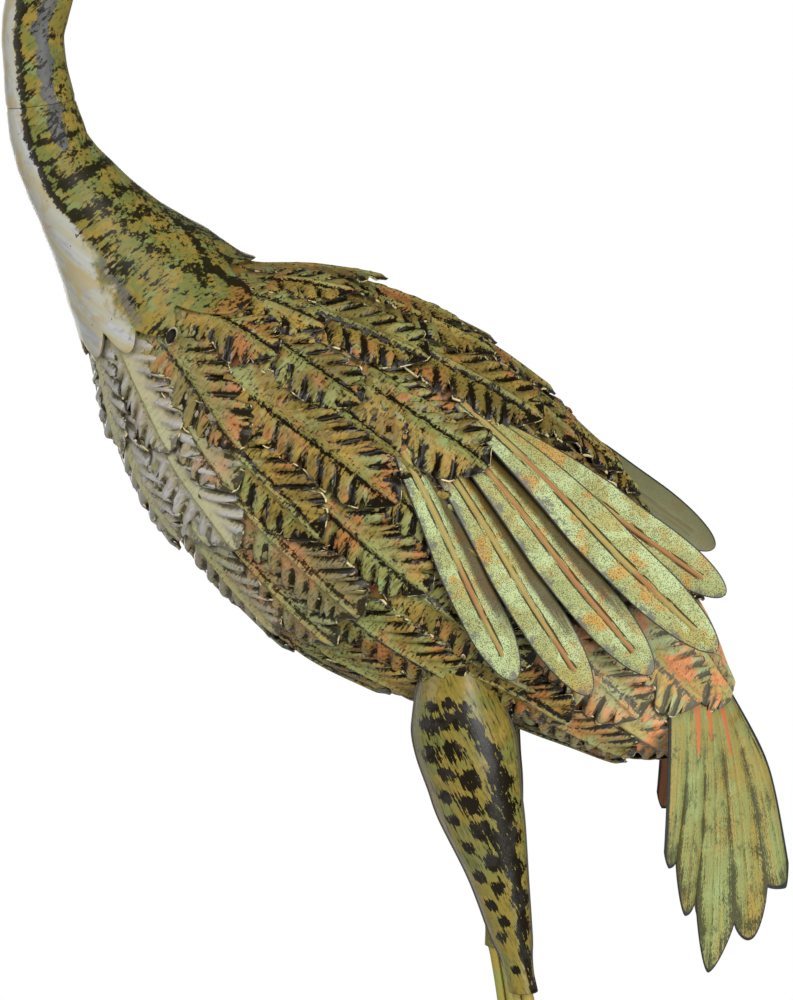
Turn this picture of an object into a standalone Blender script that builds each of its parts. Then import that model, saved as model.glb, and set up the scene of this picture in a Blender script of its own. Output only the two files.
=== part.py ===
"""Sheet-metal heron figure on a low base plate, modelled at real size.

Metres, +Z up. The bird faces -X, and its left side is at -Y. The origin is the centre of the
base plate's underside.
"""
import math

import bmesh
import bpy
import numpy as np
from mathutils import Vector

MM = 0.001

# Gap that pieces keep where they touch
GAP = 0.3 * MM

# Base plate
BASE_LENGTH = 300 * MM
BASE_WIDTH = 200 * MM
BASE_THICKNESS = 4 * MM
BASE_CORNER_RADIUS = 24 * MM

# Sheet metal and feathers
SHEET = 1.2 * MM
FEATHER_SHEET = 1.0 * MM
FEATHER_DEPTH = 6.0 * MM
ROOT_LIFT = 0.8 * MM

# Legs
LEG_SPREAD = 90 * MM
ROD_RADIUS = 3.0 * MM
SLEEVE_WALL = 1.3 * MM
SLEEVE_DEPTH = 22 * MM
SEAT_CLEARANCE = 4 * MM
ROD_SIDES = 6
TOE_LENGTH = 92 * MM
TOE_SPLAY = 24
HIND_TOE_LENGTH = 24 * MM
HIND_TOE_BEND = 16 * MM
HIND_TOE_STUB = 20 * MM

# The trunk, from the head end of the neck to the tail end of the body. Each station is a section:
# top point x, z, belly point x, z, and half width, in mm, measured over the feathers.
TRUNK = (
    (-165, 1032, -187, 1010, 14.5),
    (-138, 997, -166, 987, 14.5),
    (-131, 953, -161, 957, 15),
    (-147, 911, -173, 929, 15.5),
    (-173, 878, -199, 898, 16.3),
    (-191, 849, -223, 865, 17.3),
    (-200, 823, -235, 831, 18),
    (-203.5, 800, -237.5, 803, 17.7),
    (-195, 764, -234.5, 755.5, 20),
    (-184.5, 746, -226.5, 726, 22.5),
    (-155, 720, -212.5, 692, 31),
    (-128.5, 704.5, -203, 661, 40),
    (-102, 688.5, -193.5, 631, 50),
    (-66, 684.5, -185, 600, 60),
    (-28, 673, -170, 562, 70),
    (11, 653, -146, 530, 77),
    (49, 625.5, -113, 495, 80),
    (82, 592.5, -76, 467, 79),
    (110, 559.5, -30, 448, 73),
    (132, 525, 17, 435.5, 64),
    (148, 494, 61, 420.5, 54),
    (157.5, 467, 97, 410.5, 42),
    (161, 446, 125, 410.5, 26),
    (151, 428, 140, 419, 6),
)

# The head, as sections of the same kind, from the nape to the root of the beak
HEAD = (
    (-165.4, 1032.4, -187.4, 1010.4, 14.4),
    (-173, 1045, -199, 1013, 16),
    (-190, 1055, -211, 1016, 17.2),
    (-212, 1055, -221, 1018, 16.2),
    (-232, 1047, -232, 1020, 12.8),
    (-247, 1040.5, -246, 1022, 9.5),
)
UPPER_BEAK = (
    (-247.5, 1040, -247.0, 1031.7, 9),
    (-290, 1032.6, -289, 1026, 5.6),
    (-336, 1019.6, -335.6, 1017.6, 1.2),
)
LOWER_BEAK = (
    (-247.0, 1031.2, -246.6, 1022.6, 8.4),
    (-289, 1025.6, -288, 1020, 5),
    (-332, 1018, -331.6, 1016.4, 1),
)
EYE_RADIUS = 3.6 * MM
EYE_PLACE = Vector((-219 * MM, 0, 1042 * MM))
CREST_X = -194 * MM
CREST_HALF_GAP = 3.2 * MM
CREST_LENGTH = 88 * MM
CREST_RADIUS = 2.2 * MM

# Neck seam, and the collar's hem: angle round the trunk from the crest, and station
NECK_SEAM = 7.7
COLLAR_SOCKET = 11.2
SOCKET_END = 10.7
HEM = (
    (0, 12.04), (30, 11.8), (61, 12.75), (78, 11.86), (92, 12.3), (106, 11.9),
    (117, 12.2), (129, 11.64), (144, 12.0), (161, 11.6), (180, 11.9),
)
BODY_NOSE = ((10.85, 0.45), (10.92, 0.8), (11.05, 0.95), (11.2, 1.0))
BODY_END = 22.9

# Feathers lie over one another in layers of this height
LAYER = FEATHER_SHEET + 0.4 * MM

# Covert feathers of the left side, three rows over the back and sides: name, station and angle of
# the root, station and angle of the tip, width in mm, and the layers that the tip is lifted by.
COVERTS = (
    ("a1", 11.85, 124, 13.86, 125, 27, 2.3),
    ("a2", 12.00, 97, 14.40, 103, 28, 2.3),
    ("a3", 11.95, 71, 13.67, 71, 29, 2.9),
    ("a4", 12.25, 28, 13.67, 24, 24, 2.9),
    ("b1", 13.20, 127, 15.39, 132, 28, 2.6),
    ("b2", 13.60, 106, 15.83, 107, 29, 2.6),
    ("b3", 13.55, 87, 16.05, 83, 31, 3.3),
    ("b4", 12.95, 66, 14.89, 67, 24, 2.3),
    ("b5", 12.95, 44, 15.01, 38, 31, 2.6),
    ("c1", 14.75, 120, 16.86, 119, 31, 2.6),
    ("c2", 15.20, 99, 17.10, 98, 28, 2.3),
    ("c3", 14.60, 61, 16.39, 58, 31, 5.1),
    ("c4", 14.60, 34, 16.40, 31, 30, 7.5),
)
COVERT_STEPS = 8
LOBE_NOTCH = 0.80

# Wing feathers of the left side: station and angle of the root, layers under it, tip x, distance
# out and height, layers under the tip, and width. Lengths are in mm.
PRIMARIES = (
    (15.62, 70, 0.5, 42, 75.5, 470.5, 0.0, 24),
    (15.75, 62, 1.1, 82, 75.5, 463.5, 2.0, 25),
    (15.75, 54, 1.8, 115, 75.5, 475.5, 3.8, 26),
    (15.62, 44, 2.5, 149, 75.5, 489.5, 7.4, 27),
    (15.80, 43.0, 0.2, 154, 67.0, 516.0, 0.0, 25),
)
PRIMARY_ROOT_WIDTH = 0.42
PRIMARY_CAMBER = 0.7 * MM
PRIMARY_BOW = 7 * MM

# Tail fan of the left side: where its top edge lies on the rump (station, angle) from the rear
# ridge forward, and its fingers from the ridge forward: tip x, distance out, z, in mm
TAIL_TOP_REAR = (21.35, 7)
TAIL_TOP_FRONT = (20.75, 84)
TAIL_FINGERS = (
    (191, 8, 338),
    (171, 25, 313),
    (148, 41, 299),
    (134.5, 55, 335),
    (125, 64, 364),
)
TAIL_NOTCHES = ((182, 16, 341), (163, 34, 325), (141, 49, 344), (129.5, 60, 367))
FINGER_SHOULDER = 0.6
FINGER_ROUND = 0.25
TAIL_REAR_KINK = (184, 3, 405)
TAIL_FRONT_KINK = (125, 57, 405)
FLUTE_DEPTH = 2.2 * MM
TAIL_STEPS = 5

# Thigh sections of the left leg: height, front x, rear x, half thickness, in mm
THIGH = (
    (478, -6, 27, 14),
    (458, -11, 32, 16.5),
    (444, -13, 38, 17.2),
    (433, -13.5, 41.5, 17.2),
    (419, -10.5, 43.5, 16.8),
    (402, -4.5, 45, 15.6),
    (385, 1.5, 47, 14),
    (352, 17.6, 49.2, 11),
    (320, 29.5, 51.4, 9),
)
THIGH_SEGMENTS = 16

# The round sleeve at the thigh's lower end: height and centre x of its top and its rim, in mm
SLEEVE_LINE = ((307, 43.5), (289, 47.2))

# Centre line of a leg's rods below the sleeve: x, z in mm, from the top down
LEG_LINE = (
    (48.6, 283), (52, 262), (57, 225), (61, 180), (63, 130), (62.8, 85), (61.4, 52), (61, 34),
)

# The right leg steps forward by this much at its sleeve and below. The power of the share down the
# thigh keeps its upper part beside the left one.
STRIDE = 14 * MM
STRIDE_CURVE = 3

SIDES = (("left", -1), ("right", 1))


def clear_scene():
    for item in list(bpy.data.objects):
        bpy.data.objects.remove(item, do_unlink=True)


def paint(name, colour, roughness, metallic):
    material = bpy.data.materials.new(name)
    material.use_nodes = True
    shader = material.node_tree.nodes["Principled BSDF"]
    shader.inputs["Base Color"].default_value = (*colour, 1.0)
    shader.inputs["Roughness"].default_value = roughness
    shader.inputs["Metallic"].default_value = metallic
    return material


def add_object(name, points, faces, material, smooth_angle=40):
    """One closed body from its points and faces, facing out."""
    mesh = bpy.data.meshes.new(name)
    body = bmesh.new()
    corners = [body.verts.new(point) for point in points]
    for face in faces:
        body.faces.new([corners[index] for index in face])
    bmesh.ops.recalc_face_normals(body, faces=body.faces)
    body.to_mesh(mesh)
    body.free()
    mesh.materials.append(material)
    mesh.shade_smooth()
    mesh.set_sharp_from_angle(angle=math.radians(smooth_angle))
    item = bpy.data.objects.new(name, mesh)
    bpy.context.collection.objects.link(item)
    return item


def loft(name, rings, material):
    """A closed body through rings of equal count, with flat ends."""
    count = len(rings[0])
    points = [point for ring in rings for point in ring]
    faces = []
    for row in range(len(rings) - 1):
        for col in range(count):
            near = row * count + col
            side = row * count + (col + 1) % count
            faces.append((near, side, side + count, near + count))
    faces.append(tuple(reversed(range(count))))
    faces.append(tuple(range(len(points) - count, len(points))))
    return add_object(name, points, faces, material)


def plate(name, top, bottom, material):
    """A thin closed sheet between two grids of points."""
    rows = len(top)
    cols = len(top[0])
    points = [p for row in top for p in row] + [p for row in bottom for p in row]
    under = rows * cols
    faces = []
    for row in range(rows - 1):
        for col in range(cols - 1):
            corner = row * cols + col
            quad = (corner, corner + 1, corner + cols + 1, corner + cols)
            faces.append(quad)
            faces.append(tuple(index + under for index in reversed(quad)))
    border = [col for col in range(cols)]
    border += [row * cols + cols - 1 for row in range(1, rows)]
    border += [(rows - 1) * cols + col for col in reversed(range(cols - 1))]
    border += [row * cols for row in reversed(range(1, rows - 1))]
    for index, here in enumerate(border):
        after = border[(index + 1) % len(border)]
        faces.append((after, here, here + under, after + under))
    return add_object(name, points, faces, material, 60)


def smooth_rows(rows, place):
    """Values of a row table at a place between its rows, on a smooth curve through them."""
    last = len(rows) - 1
    place = min(max(place, 0.0), last - 1e-6)
    index = int(place)
    t = place - index
    before, start, end, after = (
        np.array(rows[min(max(index + step, 0), last)], float) for step in (-1, 0, 1, 2)
    )
    slope = (end - before) * t
    bend = (2 * before - 5 * start + 4 * end - after) * t * t
    twist = (3 * start - before - 3 * end + after) * t ** 3
    return 0.5 * (2 * start + slope + bend + twist)


def section_point(rows, place, angle, lift=0.0, side=-1, share=1.0):
    """Point on a section: angle in degrees from the top, lift outward from the surface."""
    top_x, top_z, low_x, low_z, half = smooth_rows(rows, place) * MM
    middle = Vector(((top_x + low_x) / 2, 0, (top_z + low_z) / 2))
    rise = Vector(((top_x - low_x) / 2, 0, (top_z - low_z) / 2))
    radius = rise.length
    turn = math.radians(angle)
    up = rise * ((radius + lift) / radius) * math.cos(turn)
    out = Vector((0, side * (half + lift) * math.sin(turn), 0))
    return middle + (up + out) * share


def section_ring(rows, place, segments, lift=0.0, share=1.0):
    step = 360 / segments
    return [section_point(rows, place, step * k, lift, -1, share) for k in range(segments)]


def body_point(place, angle, lift, side=-1):
    """Point above the bare body shell, which lies one feather depth inside the outline."""
    return section_point(TRUNK, place, angle, lift - FEATHER_DEPTH, side)


def steps_between(start, end, count):
    return [start + (end - start) * k / count for k in range(count + 1)]


def station_length(place):
    """Distance along the trunk for one station."""
    here = section_point(TRUNK, place - 0.05, 90, side=0)
    there = section_point(TRUNK, place + 0.05, 90, side=0)
    return (there - here).length / 0.1


def make_body(material):
    rings = [section_ring(TRUNK, place, 20, -FEATHER_DEPTH, share) for place, share in BODY_NOSE]
    for place in steps_between(BODY_NOSE[-1][0], BODY_END, 22)[1:]:
        inset = min(FEATHER_DEPTH, 0.5 * smooth_rows(TRUNK, place)[4] * MM)
        rings.append(section_ring(TRUNK, place, 20, -inset))
    return loft("body_shell", rings, material)


def make_upper_neck(material):
    end = NECK_SEAM - 0.5 * GAP / station_length(NECK_SEAM)
    rings = [section_ring(TRUNK, place, 14) for place in steps_between(0, end, 18)]
    return loft("upper_neck", rings, material)


def hem_columns():
    """Angles and stations round half the hem: sharp notches between round lobes."""
    columns = []
    for (angle, place), (next_angle, next_place) in zip(HEM, HEM[1:]):
        share = 0.25 if next_place < place else 0.75
        columns.append((angle, place))
        columns.append(((angle + next_angle) / 2, place + (next_place - place) * share))
    return columns + [HEM[-1]]


def collar_ring(start, share, lift):
    """Ring of the collar, a share of the way from a station to the hem."""
    left = [(-1, angle, hem) for angle, hem in hem_columns()]
    right = [(1, angle, hem) for angle, hem in hem_columns()[-2:0:-1]]
    return [section_point(TRUNK, start + (hem - start) * share, angle, lift, side)
            for side, angle, hem in left + right]


def make_collar(material):
    """The lower neck: a cone with a lobed hem, hollow where the body's front end sits in it."""
    top = NECK_SEAM + 0.5 * GAP / station_length(NECK_SEAM)
    fit = 2 * GAP - FEATHER_DEPTH
    rings = [collar_ring(top, share, 0.0) for share in steps_between(0, 1, 7)]
    rings.append(collar_ring(top, 1.0, -SHEET))
    rings.append(collar_ring(COLLAR_SOCKET, 0.45, 0.5 * (fit - SHEET)))
    rings.append(collar_ring(COLLAR_SOCKET, 0.0, fit))
    rings.append(collar_ring(SOCKET_END, 0.0, fit))
    return loft("neck_collar", rings, material)


def make_head(material, beak_material):
    rings = [section_ring(HEAD, place, 16) for place in steps_between(0, len(HEAD) - 1, 11)]
    loft("head", rings, material)
    for name, rows in (("upper_beak", UPPER_BEAK), ("lower_beak", LOWER_BEAK)):
        rings = [section_ring(rows, place, 10) for place in steps_between(0, len(rows) - 1, 6)]
        loft(name, rings, beak_material)


def make_eye(name, side, material):
    """A domed bead with a flat back, just clear of the head's side."""
    half = smooth_rows(HEAD, 3.25)[4] * MM
    back = Vector((EYE_PLACE.x, side * (half + GAP), EYE_PLACE.z))
    rings = []
    for height in (0.0, 0.55, 0.9):
        radius = EYE_RADIUS * math.sqrt(1 - height ** 2)
        out = side * EYE_RADIUS * height
        rings.append([back + Vector((radius * math.cos(a), out, radius * math.sin(a)))
                      for a in np.linspace(0, 2 * math.pi, 10, endpoint=False)])
    return loft(name, rings, material)


def tube(name, line, radii, material, sides):
    """A rod along a line of points, with flat ends."""
    rings = []
    across = None
    for index, centre in enumerate(line):
        before = line[max(index - 1, 0)]
        after = line[min(index + 1, len(line) - 1)]
        along = (after - before).normalized()
        guide = across if across else Vector((0, 1, 0))
        across = (guide - along * guide.dot(along)).normalized()
        other = along.cross(across)
        turns = np.linspace(0, 2 * math.pi, sides, endpoint=False)
        rings.append([centre + (across * math.cos(a) + other * math.sin(a)) * radii[index]
                      for a in turns])
    return loft(name, rings, material)


def make_crest(name, side, material):
    """A tapered plume that starts on the crown and trails back."""
    line = []
    radii = []
    for share in steps_between(0, 1, 6):
        x = CREST_X + CREST_LENGTH * share
        rise = 5 * MM * math.sin(math.pi * share) - 22 * MM * share ** 2
        y = side * (CREST_HALF_GAP + 3 * MM * share)
        line.append(Vector((x, y, crown_height() + CREST_RADIUS + GAP + rise)))
        radii.append(CREST_RADIUS * (1 - 0.8 * share))
    return tube(name, line, radii, material, 6)


def crown_height():
    return max(row[1] for row in HEAD) * MM


def leaf_half_width(share, width):
    """Leaf outline: narrow root, widest past the middle, rounded tip."""
    body = math.sin(math.pi * min(1.0, 0.12 + 0.88 * share) ** 1.15)
    return 0.5 * width * max(0.14, body) ** 0.62


def make_covert(name, side, row, material):
    """A leaf-shaped feather that follows the body, lifted at its tip, with lobed edges."""
    _, root_s, root_a, tip_s, tip_a, width, tip_layers = row
    root = body_point(root_s, root_a, 0)
    tip = body_point(tip_s, tip_a, 0)
    along = (tip - root).normalized()
    top = []
    bottom = []
    for step in range(COVERT_STEPS + 1):
        share = step / COVERT_STEPS
        place = root_s + (tip_s - root_s) * share
        angle = root_a + (tip_a - root_a) * share
        half = leaf_half_width(share, width * MM)
        if step % 2 == 1:
            half *= LOBE_NOTCH
        if step == COVERT_STEPS:
            half = 0.10 * width * MM
        lift = ROOT_LIFT + tip_layers * LAYER * share ** 1.2
        around = (body_point(place, angle + 1, 0) - body_point(place, angle - 1, 0)) / 2
        forward = (body_point(place + 0.05, angle, 0) - body_point(place - 0.05, angle, 0)) / 0.1
        normal = around.cross(forward).normalized()
        across = normal.cross(along).normalized()
        rows = ([], [])
        for reach in (-half, 0.0, half):
            offset = across * reach
            turn = offset.dot(around) / around.length_squared
            shift = offset.dot(forward) / forward.length_squared
            rib = 0.5 * MM if reach == 0.0 else 0.0
            for grid, height in zip(rows, (lift + rib + FEATHER_SHEET, lift + rib)):
                grid.append(body_point(place + shift, angle + turn, height, side))
        top.append(rows[0])
        bottom.append(rows[1])
    return plate(name, top, bottom, material)


def primary_half_width(share, width):
    """Wing feather outline: tapered root, full middle, rounded tip."""
    root = PRIMARY_ROOT_WIDTH + (1 - PRIMARY_ROOT_WIDTH) * min(1.0, share / 0.5) ** 0.8
    tip = math.sqrt(max(0.0, 1 - max(0.0, (share - 0.72) / 0.29) ** 2))
    return 0.5 * width * root * tip


def make_primary(name, side, row, material):
    """A long wing feather: welded to the body at its root, standing off it at its tip."""
    root_s, root_a, root_layers, tip_x, tip_y, tip_z, tip_layers, width = row
    root = body_point(root_s, root_a, ROOT_LIFT + root_layers * LAYER, 1)
    tip = Vector((tip_x, tip_y, tip_z)) * MM + Vector((0, tip_layers * LAYER, 0))
    along = (tip - root).normalized()
    away = body_point(root_s, root_a, 30 * MM, 1) - body_point(root_s, root_a, 0, 1)
    top = []
    bottom = []
    for share in (0, 0.12, 0.28, 0.46, 0.62, 0.76, 0.87, 0.95, 1.0):
        outward = away.normalized().lerp(Vector((0, 1, 0.1)), min(1.0, 1.6 * share))
        outward = (outward - along * outward.dot(along)).normalized()
        across = along.cross(outward)
        half = primary_half_width(share, width * MM)
        bow = PRIMARY_BOW * math.sin(math.pi * share) ** 1.6
        middle = root + (tip - root) * share + outward * bow
        rows = ([], [])
        for reach in (-1, 0, 1):
            drop = PRIMARY_CAMBER * abs(reach)
            for grid, height in zip(rows, (FEATHER_SHEET - drop, -drop)):
                spot = middle + across * half * reach + outward * height
                grid.append(Vector((spot.x, side * spot.y, spot.z)))
        top.append(rows[0])
        bottom.append(rows[1])
    return plate(name, top, bottom, material)


def tail_outline():
    """Lower edge from the rear ridge forward: shares across, and rounded tips between notches."""
    count = len(TAIL_FINGERS)
    edge = []
    for index, finger in enumerate(TAIL_FINGERS):
        tip = Vector(finger)
        before = Vector(TAIL_NOTCHES[index - 1]) if index else tip + Vector((3, -3, 14))
        after = Vector(TAIL_NOTCHES[index]) if index < count - 1 else tip + Vector((-2, 3, 10))
        middle = (index + 0.5) / count
        reach = 0.5 / count
        for notch, sign in ((before, -1), (after, 1)):
            shoulder = tip.lerp(notch, FINGER_SHOULDER)
            shoulder.z = tip.z + (notch.z - tip.z) * FINGER_ROUND
            edge.append((middle + sign * reach * FINGER_SHOULDER, 0.6, shoulder))
        edge.insert(-1, (middle, 1.0, tip))
        if index < count - 1:
            edge.append((middle + reach, 0.0, after))
    first_share, first_flute, first = edge[0]
    edge[0] = (0.0, 0.2, first)
    last_share, last_flute, last = edge[-1]
    edge[-1] = (1.0, 0.2, last)
    return edge


def make_tail(name, side, material):
    """A fluted fan: its top edge lies on the rump, and each finger is a rounded flute."""
    top = []
    bottom = []
    for step in range(TAIL_STEPS + 1):
        share = step / TAIL_STEPS
        rows = ([], [])
        for part, swell, tip in tail_outline():
            station = TAIL_TOP_REAR[0] + (TAIL_TOP_FRONT[0] - TAIL_TOP_REAR[0]) * part
            angle = TAIL_TOP_REAR[1] + (TAIL_TOP_FRONT[1] - TAIL_TOP_REAR[1]) * part
            start = body_point(station, angle, ROOT_LIFT + GAP, 1)
            middle = Vector(TAIL_REAR_KINK).lerp(Vector(TAIL_FRONT_KINK), part) * MM
            end = tip * MM
            spot = start.lerp(middle, share).lerp(middle.lerp(end, share), share)
            flute = FLUTE_DEPTH * min(1.0, 2 * share) * swell
            outward = Vector((0.45, 0.85, 0.28)).normalized()
            for grid, height in zip(rows, (flute + FEATHER_SHEET, flute)):
                raised = spot + outward * height
                grid.append(Vector((raised.x, side * raised.y, raised.z)))
        top.append(rows[0])
        bottom.append(rows[1])
    return plate(name, top, bottom, material)


def bundle_offset():
    """Distance of each rod's centre from the bundle's centre."""
    return (2 * ROD_RADIUS + GAP) / math.sqrt(3)


def bundle_radius():
    return bundle_offset() + ROD_RADIUS


def thigh_rows():
    """The thigh's sections with the sleeve's, which fit round the rods."""
    radius = (bundle_radius() + GAP + SLEEVE_WALL) / MM
    sleeve = tuple((z, x - radius, x + radius, radius) for z, x in SLEEVE_LINE)
    return THIGH + sleeve


def stride_shift(height, side):
    """How far forward the right leg stands at a height."""
    if side < 0:
        return 0.0
    top = THIGH[0][0] * MM
    low = SLEEVE_LINE[-1][0] * MM
    return -STRIDE * min(1.0, max(0.0, (top - height) / (top - low))) ** STRIDE_CURVE


def thigh_ring(row, side):
    """A flattened oval section of the thigh, pointed at its front and rear seams."""
    height, front, rear, thickness = (value * MM for value in row)
    middle = (front + rear) / 2 + stride_shift(height, side)
    length = (rear - front) / 2
    seam = 1 + 0.35 * min(1.0, max(0.0, (length - thickness) / (8 * MM)))
    ring = []
    for index in range(THIGH_SEGMENTS):
        turn = 2 * math.pi * index / THIGH_SEGMENTS
        out = thickness * math.copysign(abs(math.sin(turn)) ** seam, math.sin(turn))
        ring.append(Vector((middle + length * math.cos(turn), side * LEG_SPREAD / 2 + out, height)))
    return ring


def sleeve_axis(side):
    """Centre of the sleeve's rim, and the direction up its bore."""
    top, rim = (Vector((x * MM + stride_shift(z * MM, side), 0, z * MM)) for z, x in SLEEVE_LINE)
    return rim, (top - rim).normalized()


def make_thigh(name, side, material, cutter):
    """A flattened cone, cut to the body at its top, with an open sleeve at its lower end."""
    rows = thigh_rows()
    last = len(rows) - 1
    rings = [thigh_ring(smooth_rows(rows, place), side) for place in steps_between(0, last, 12)]
    end, up = sleeve_axis(side)
    radius = bundle_radius() + GAP
    inner = []
    for depth in (0.0, SLEEVE_DEPTH):
        centre = end + up * depth
        inner.append([Vector((centre.x + radius * math.cos(a), side * LEG_SPREAD / 2
                              + radius * math.sin(a), centre.z))
                      for a in np.linspace(0, 2 * math.pi, THIGH_SEGMENTS, endpoint=False)])
    item = loft(name, rings + inner, material)
    cut = item.modifiers.new("body_cut", "BOOLEAN")
    cut.operation = "DIFFERENCE"
    cut.solver = "EXACT"
    cut.object = cutter
    return item


def make_cutter():
    """The bare body with a gap all round, which trims the thighs to it."""
    rings = []
    for place in steps_between(13.0, 22.6, 24):
        rings.append(section_ring(TRUNK, place, 20, 2 * GAP - FEATHER_DEPTH))
    item = loft("thigh_cutter", rings, paint("guide", (0.5, 0.5, 0.5), 0.5, 0.0))
    item.hide_render = True
    item.display_type = "WIRE"
    return item


def leg_centre_line(side):
    """Points of the bundle's centre from its seat in the sleeve down to the heel."""
    end, up = sleeve_axis(side)
    line = [end + up * (SLEEVE_DEPTH - SEAT_CLEARANCE), end]
    for place in steps_between(0, len(LEG_LINE) - 1, 8):
        x, z = smooth_rows(LEG_LINE, place) * MM
        line.append(Vector((x + stride_shift(z, side), 0, z)))
    return line


def make_leg(side_name, side, material):
    """Three rods in a bundle. At the foot each one turns forward into a toe."""
    foot_z = BASE_THICKNESS + GAP + ROD_RADIUS
    line = leg_centre_line(side)
    for name, turn, splay in (("middle", 180, 0), ("outer", 60, 1), ("inner", -60, -1)):
        around = math.radians(turn)
        shift_x = bundle_offset() * math.cos(around)
        shift_y = bundle_offset() * math.sin(around)
        centre = side * LEG_SPREAD / 2
        points = [Vector((p.x + shift_x, centre + side * shift_y, p.z)) for p in line]
        heel = points[-1].copy()
        spread = math.radians(TOE_SPLAY) * splay
        ahead = Vector((-math.cos(spread), side * math.sin(spread), 0))
        bend = heel.z - foot_z
        for share in (0.4, 0.75, 1.0):
            turned = math.radians(90 * share)
            drop = bend * math.sin(turned)
            reach = bend * (1 - math.cos(turned))
            points.append(heel + ahead * reach - Vector((0, 0, drop)))
        toe_root = points[-1]
        reach = TOE_LENGTH - bend
        for share in (0.5, 0.85, 1.0):
            points.append(toe_root + ahead * reach * share)
        radii = [ROD_RADIUS] * (len(points) - 2) + [ROD_RADIUS * 0.85, ROD_RADIUS * 0.45]
        tube(f"{side_name}_leg_rod_{name}", points, radii, material, ROD_SIDES)
    back = line[-1].x + 2 * bundle_offset() + 0.5 * GAP
    centre = side * LEG_SPREAD / 2
    hind = [Vector((back, centre, foot_z + HIND_TOE_BEND + HIND_TOE_STUB))]
    for share in (0, 0.35, 0.7, 1.0):
        turned = math.radians(90 * share)
        x = back + HIND_TOE_BEND * (1 - math.cos(turned))
        hind.append(Vector((x, centre, foot_z + HIND_TOE_BEND * (1 - math.sin(turned)))))
    toe_root = hind[-1]
    hind += [toe_root + Vector((HIND_TOE_LENGTH * share, 0, 0)) for share in (0.7, 1.0)]
    radii = [ROD_RADIUS] * (len(hind) - 2) + [ROD_RADIUS * 0.85, ROD_RADIUS * 0.45]
    tube(f"{side_name}_hind_toe", hind, radii, material, ROD_SIDES)


def make_base(material):
    """A flat plate with rounded corners."""
    corners = []
    arc = 6
    half_x = BASE_LENGTH / 2 - BASE_CORNER_RADIUS
    half_y = BASE_WIDTH / 2 - BASE_CORNER_RADIUS
    for quarter, (sign_x, sign_y) in enumerate(((1, 1), (-1, 1), (-1, -1), (1, -1))):
        for step in range(arc + 1):
            turn = math.radians(90 * (quarter + step / arc))
            corners.append((sign_x * half_x + BASE_CORNER_RADIUS * math.cos(turn),
                            sign_y * half_y + BASE_CORNER_RADIUS * math.sin(turn)))
    bottom = [Vector((x, y, 0)) for x, y in corners]
    top = [Vector((x, y, BASE_THICKNESS)) for x, y in corners]
    return loft("base_plate", [bottom, top], material)


def main():
    clear_scene()
    olive = paint("olive_feather_paint", (0.34, 0.36, 0.09), 0.45, 0.3)
    copper = paint("copper_feather_paint", (0.42, 0.27, 0.10), 0.45, 0.3)
    sage = paint("sage_wing_paint", (0.36, 0.42, 0.17), 0.42, 0.3)
    neck = paint("neck_paint", (0.36, 0.38, 0.12), 0.4, 0.3)
    thigh = paint("spotted_thigh_paint", (0.34, 0.33, 0.07), 0.3, 0.3)
    rod = paint("rod_paint", (0.44, 0.42, 0.07), 0.35, 0.3)
    beak = paint("beak_paint", (0.30, 0.22, 0.06), 0.35, 0.3)
    dark = paint("dark_base_paint", (0.06, 0.06, 0.05), 0.5, 0.4)
    black = paint("eye_paint", (0.01, 0.01, 0.01), 0.15, 0.0)
    make_base(dark)
    make_body(copper)
    make_upper_neck(neck)
    make_collar(neck)
    make_head(neck, beak)
    cutter = make_cutter()
    for side_name, side in SIDES:
        make_leg(side_name, side, rod)
        make_thigh(f"{side_name}_thigh", side, thigh, cutter)
        make_tail(f"{side_name}_tail_fan", side, sage)
        make_eye(f"{side_name}_eye", side, black)
        make_crest(f"{side_name}_crest_plume", side, dark)
        for row in COVERTS:
            make_covert(f"{side_name}_covert_{row[0]}", side, row, olive)
        for index, row in enumerate(PRIMARIES):
            make_primary(f"{side_name}_primary_{index + 1}", side, row, sage)


main()
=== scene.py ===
"""Painted sheet-metal heron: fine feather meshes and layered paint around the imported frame.

Lengths in the tables are millimetres. The bird faces -X and its left side is at -Y.
"""

import math

import bmesh
import bpy
import numpy as np
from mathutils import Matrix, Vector


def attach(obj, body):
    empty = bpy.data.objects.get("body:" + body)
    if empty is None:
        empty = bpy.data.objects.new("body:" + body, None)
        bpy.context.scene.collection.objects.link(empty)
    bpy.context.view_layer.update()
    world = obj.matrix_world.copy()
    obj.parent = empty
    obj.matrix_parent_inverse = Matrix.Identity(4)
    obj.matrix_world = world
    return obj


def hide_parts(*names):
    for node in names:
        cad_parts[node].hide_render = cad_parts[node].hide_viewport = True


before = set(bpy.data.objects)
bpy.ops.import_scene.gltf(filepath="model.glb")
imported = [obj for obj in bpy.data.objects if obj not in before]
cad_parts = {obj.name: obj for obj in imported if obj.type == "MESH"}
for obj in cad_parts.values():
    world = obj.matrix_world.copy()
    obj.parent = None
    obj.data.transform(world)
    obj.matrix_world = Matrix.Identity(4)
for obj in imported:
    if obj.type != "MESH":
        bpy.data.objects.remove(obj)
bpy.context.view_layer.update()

MM = 0.001
SIDES = (("left", -1), ("right", 1))

# Camera: where it looks, and from which direction and distance
AIM = Vector((-0.0240, 0.0, 0.5545))
AZIMUTH = 2.0
ELEVATION = 10.0
CAMERA_DISTANCE = 2.2
LENS = 144.0

# Soft boxes: place, width and height in metres, power in watts. The floor lies around the base.
LIGHTS = (
    ("top_box", (-0.3, -2.1, 2.3), (1.6, 1.2), 44),
    ("left_box", (-2.3, -0.7, 0.9), (1.2, 1.8), 30),
    ("right_box", (1.5, -2.0, 0.7), (1.2, 1.6), 66),
    ("back_box", (-0.8, 2.2, 0.45), (1.6, 1.2), 26),
)
FLOOR_RADIUS = 0.8

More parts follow.
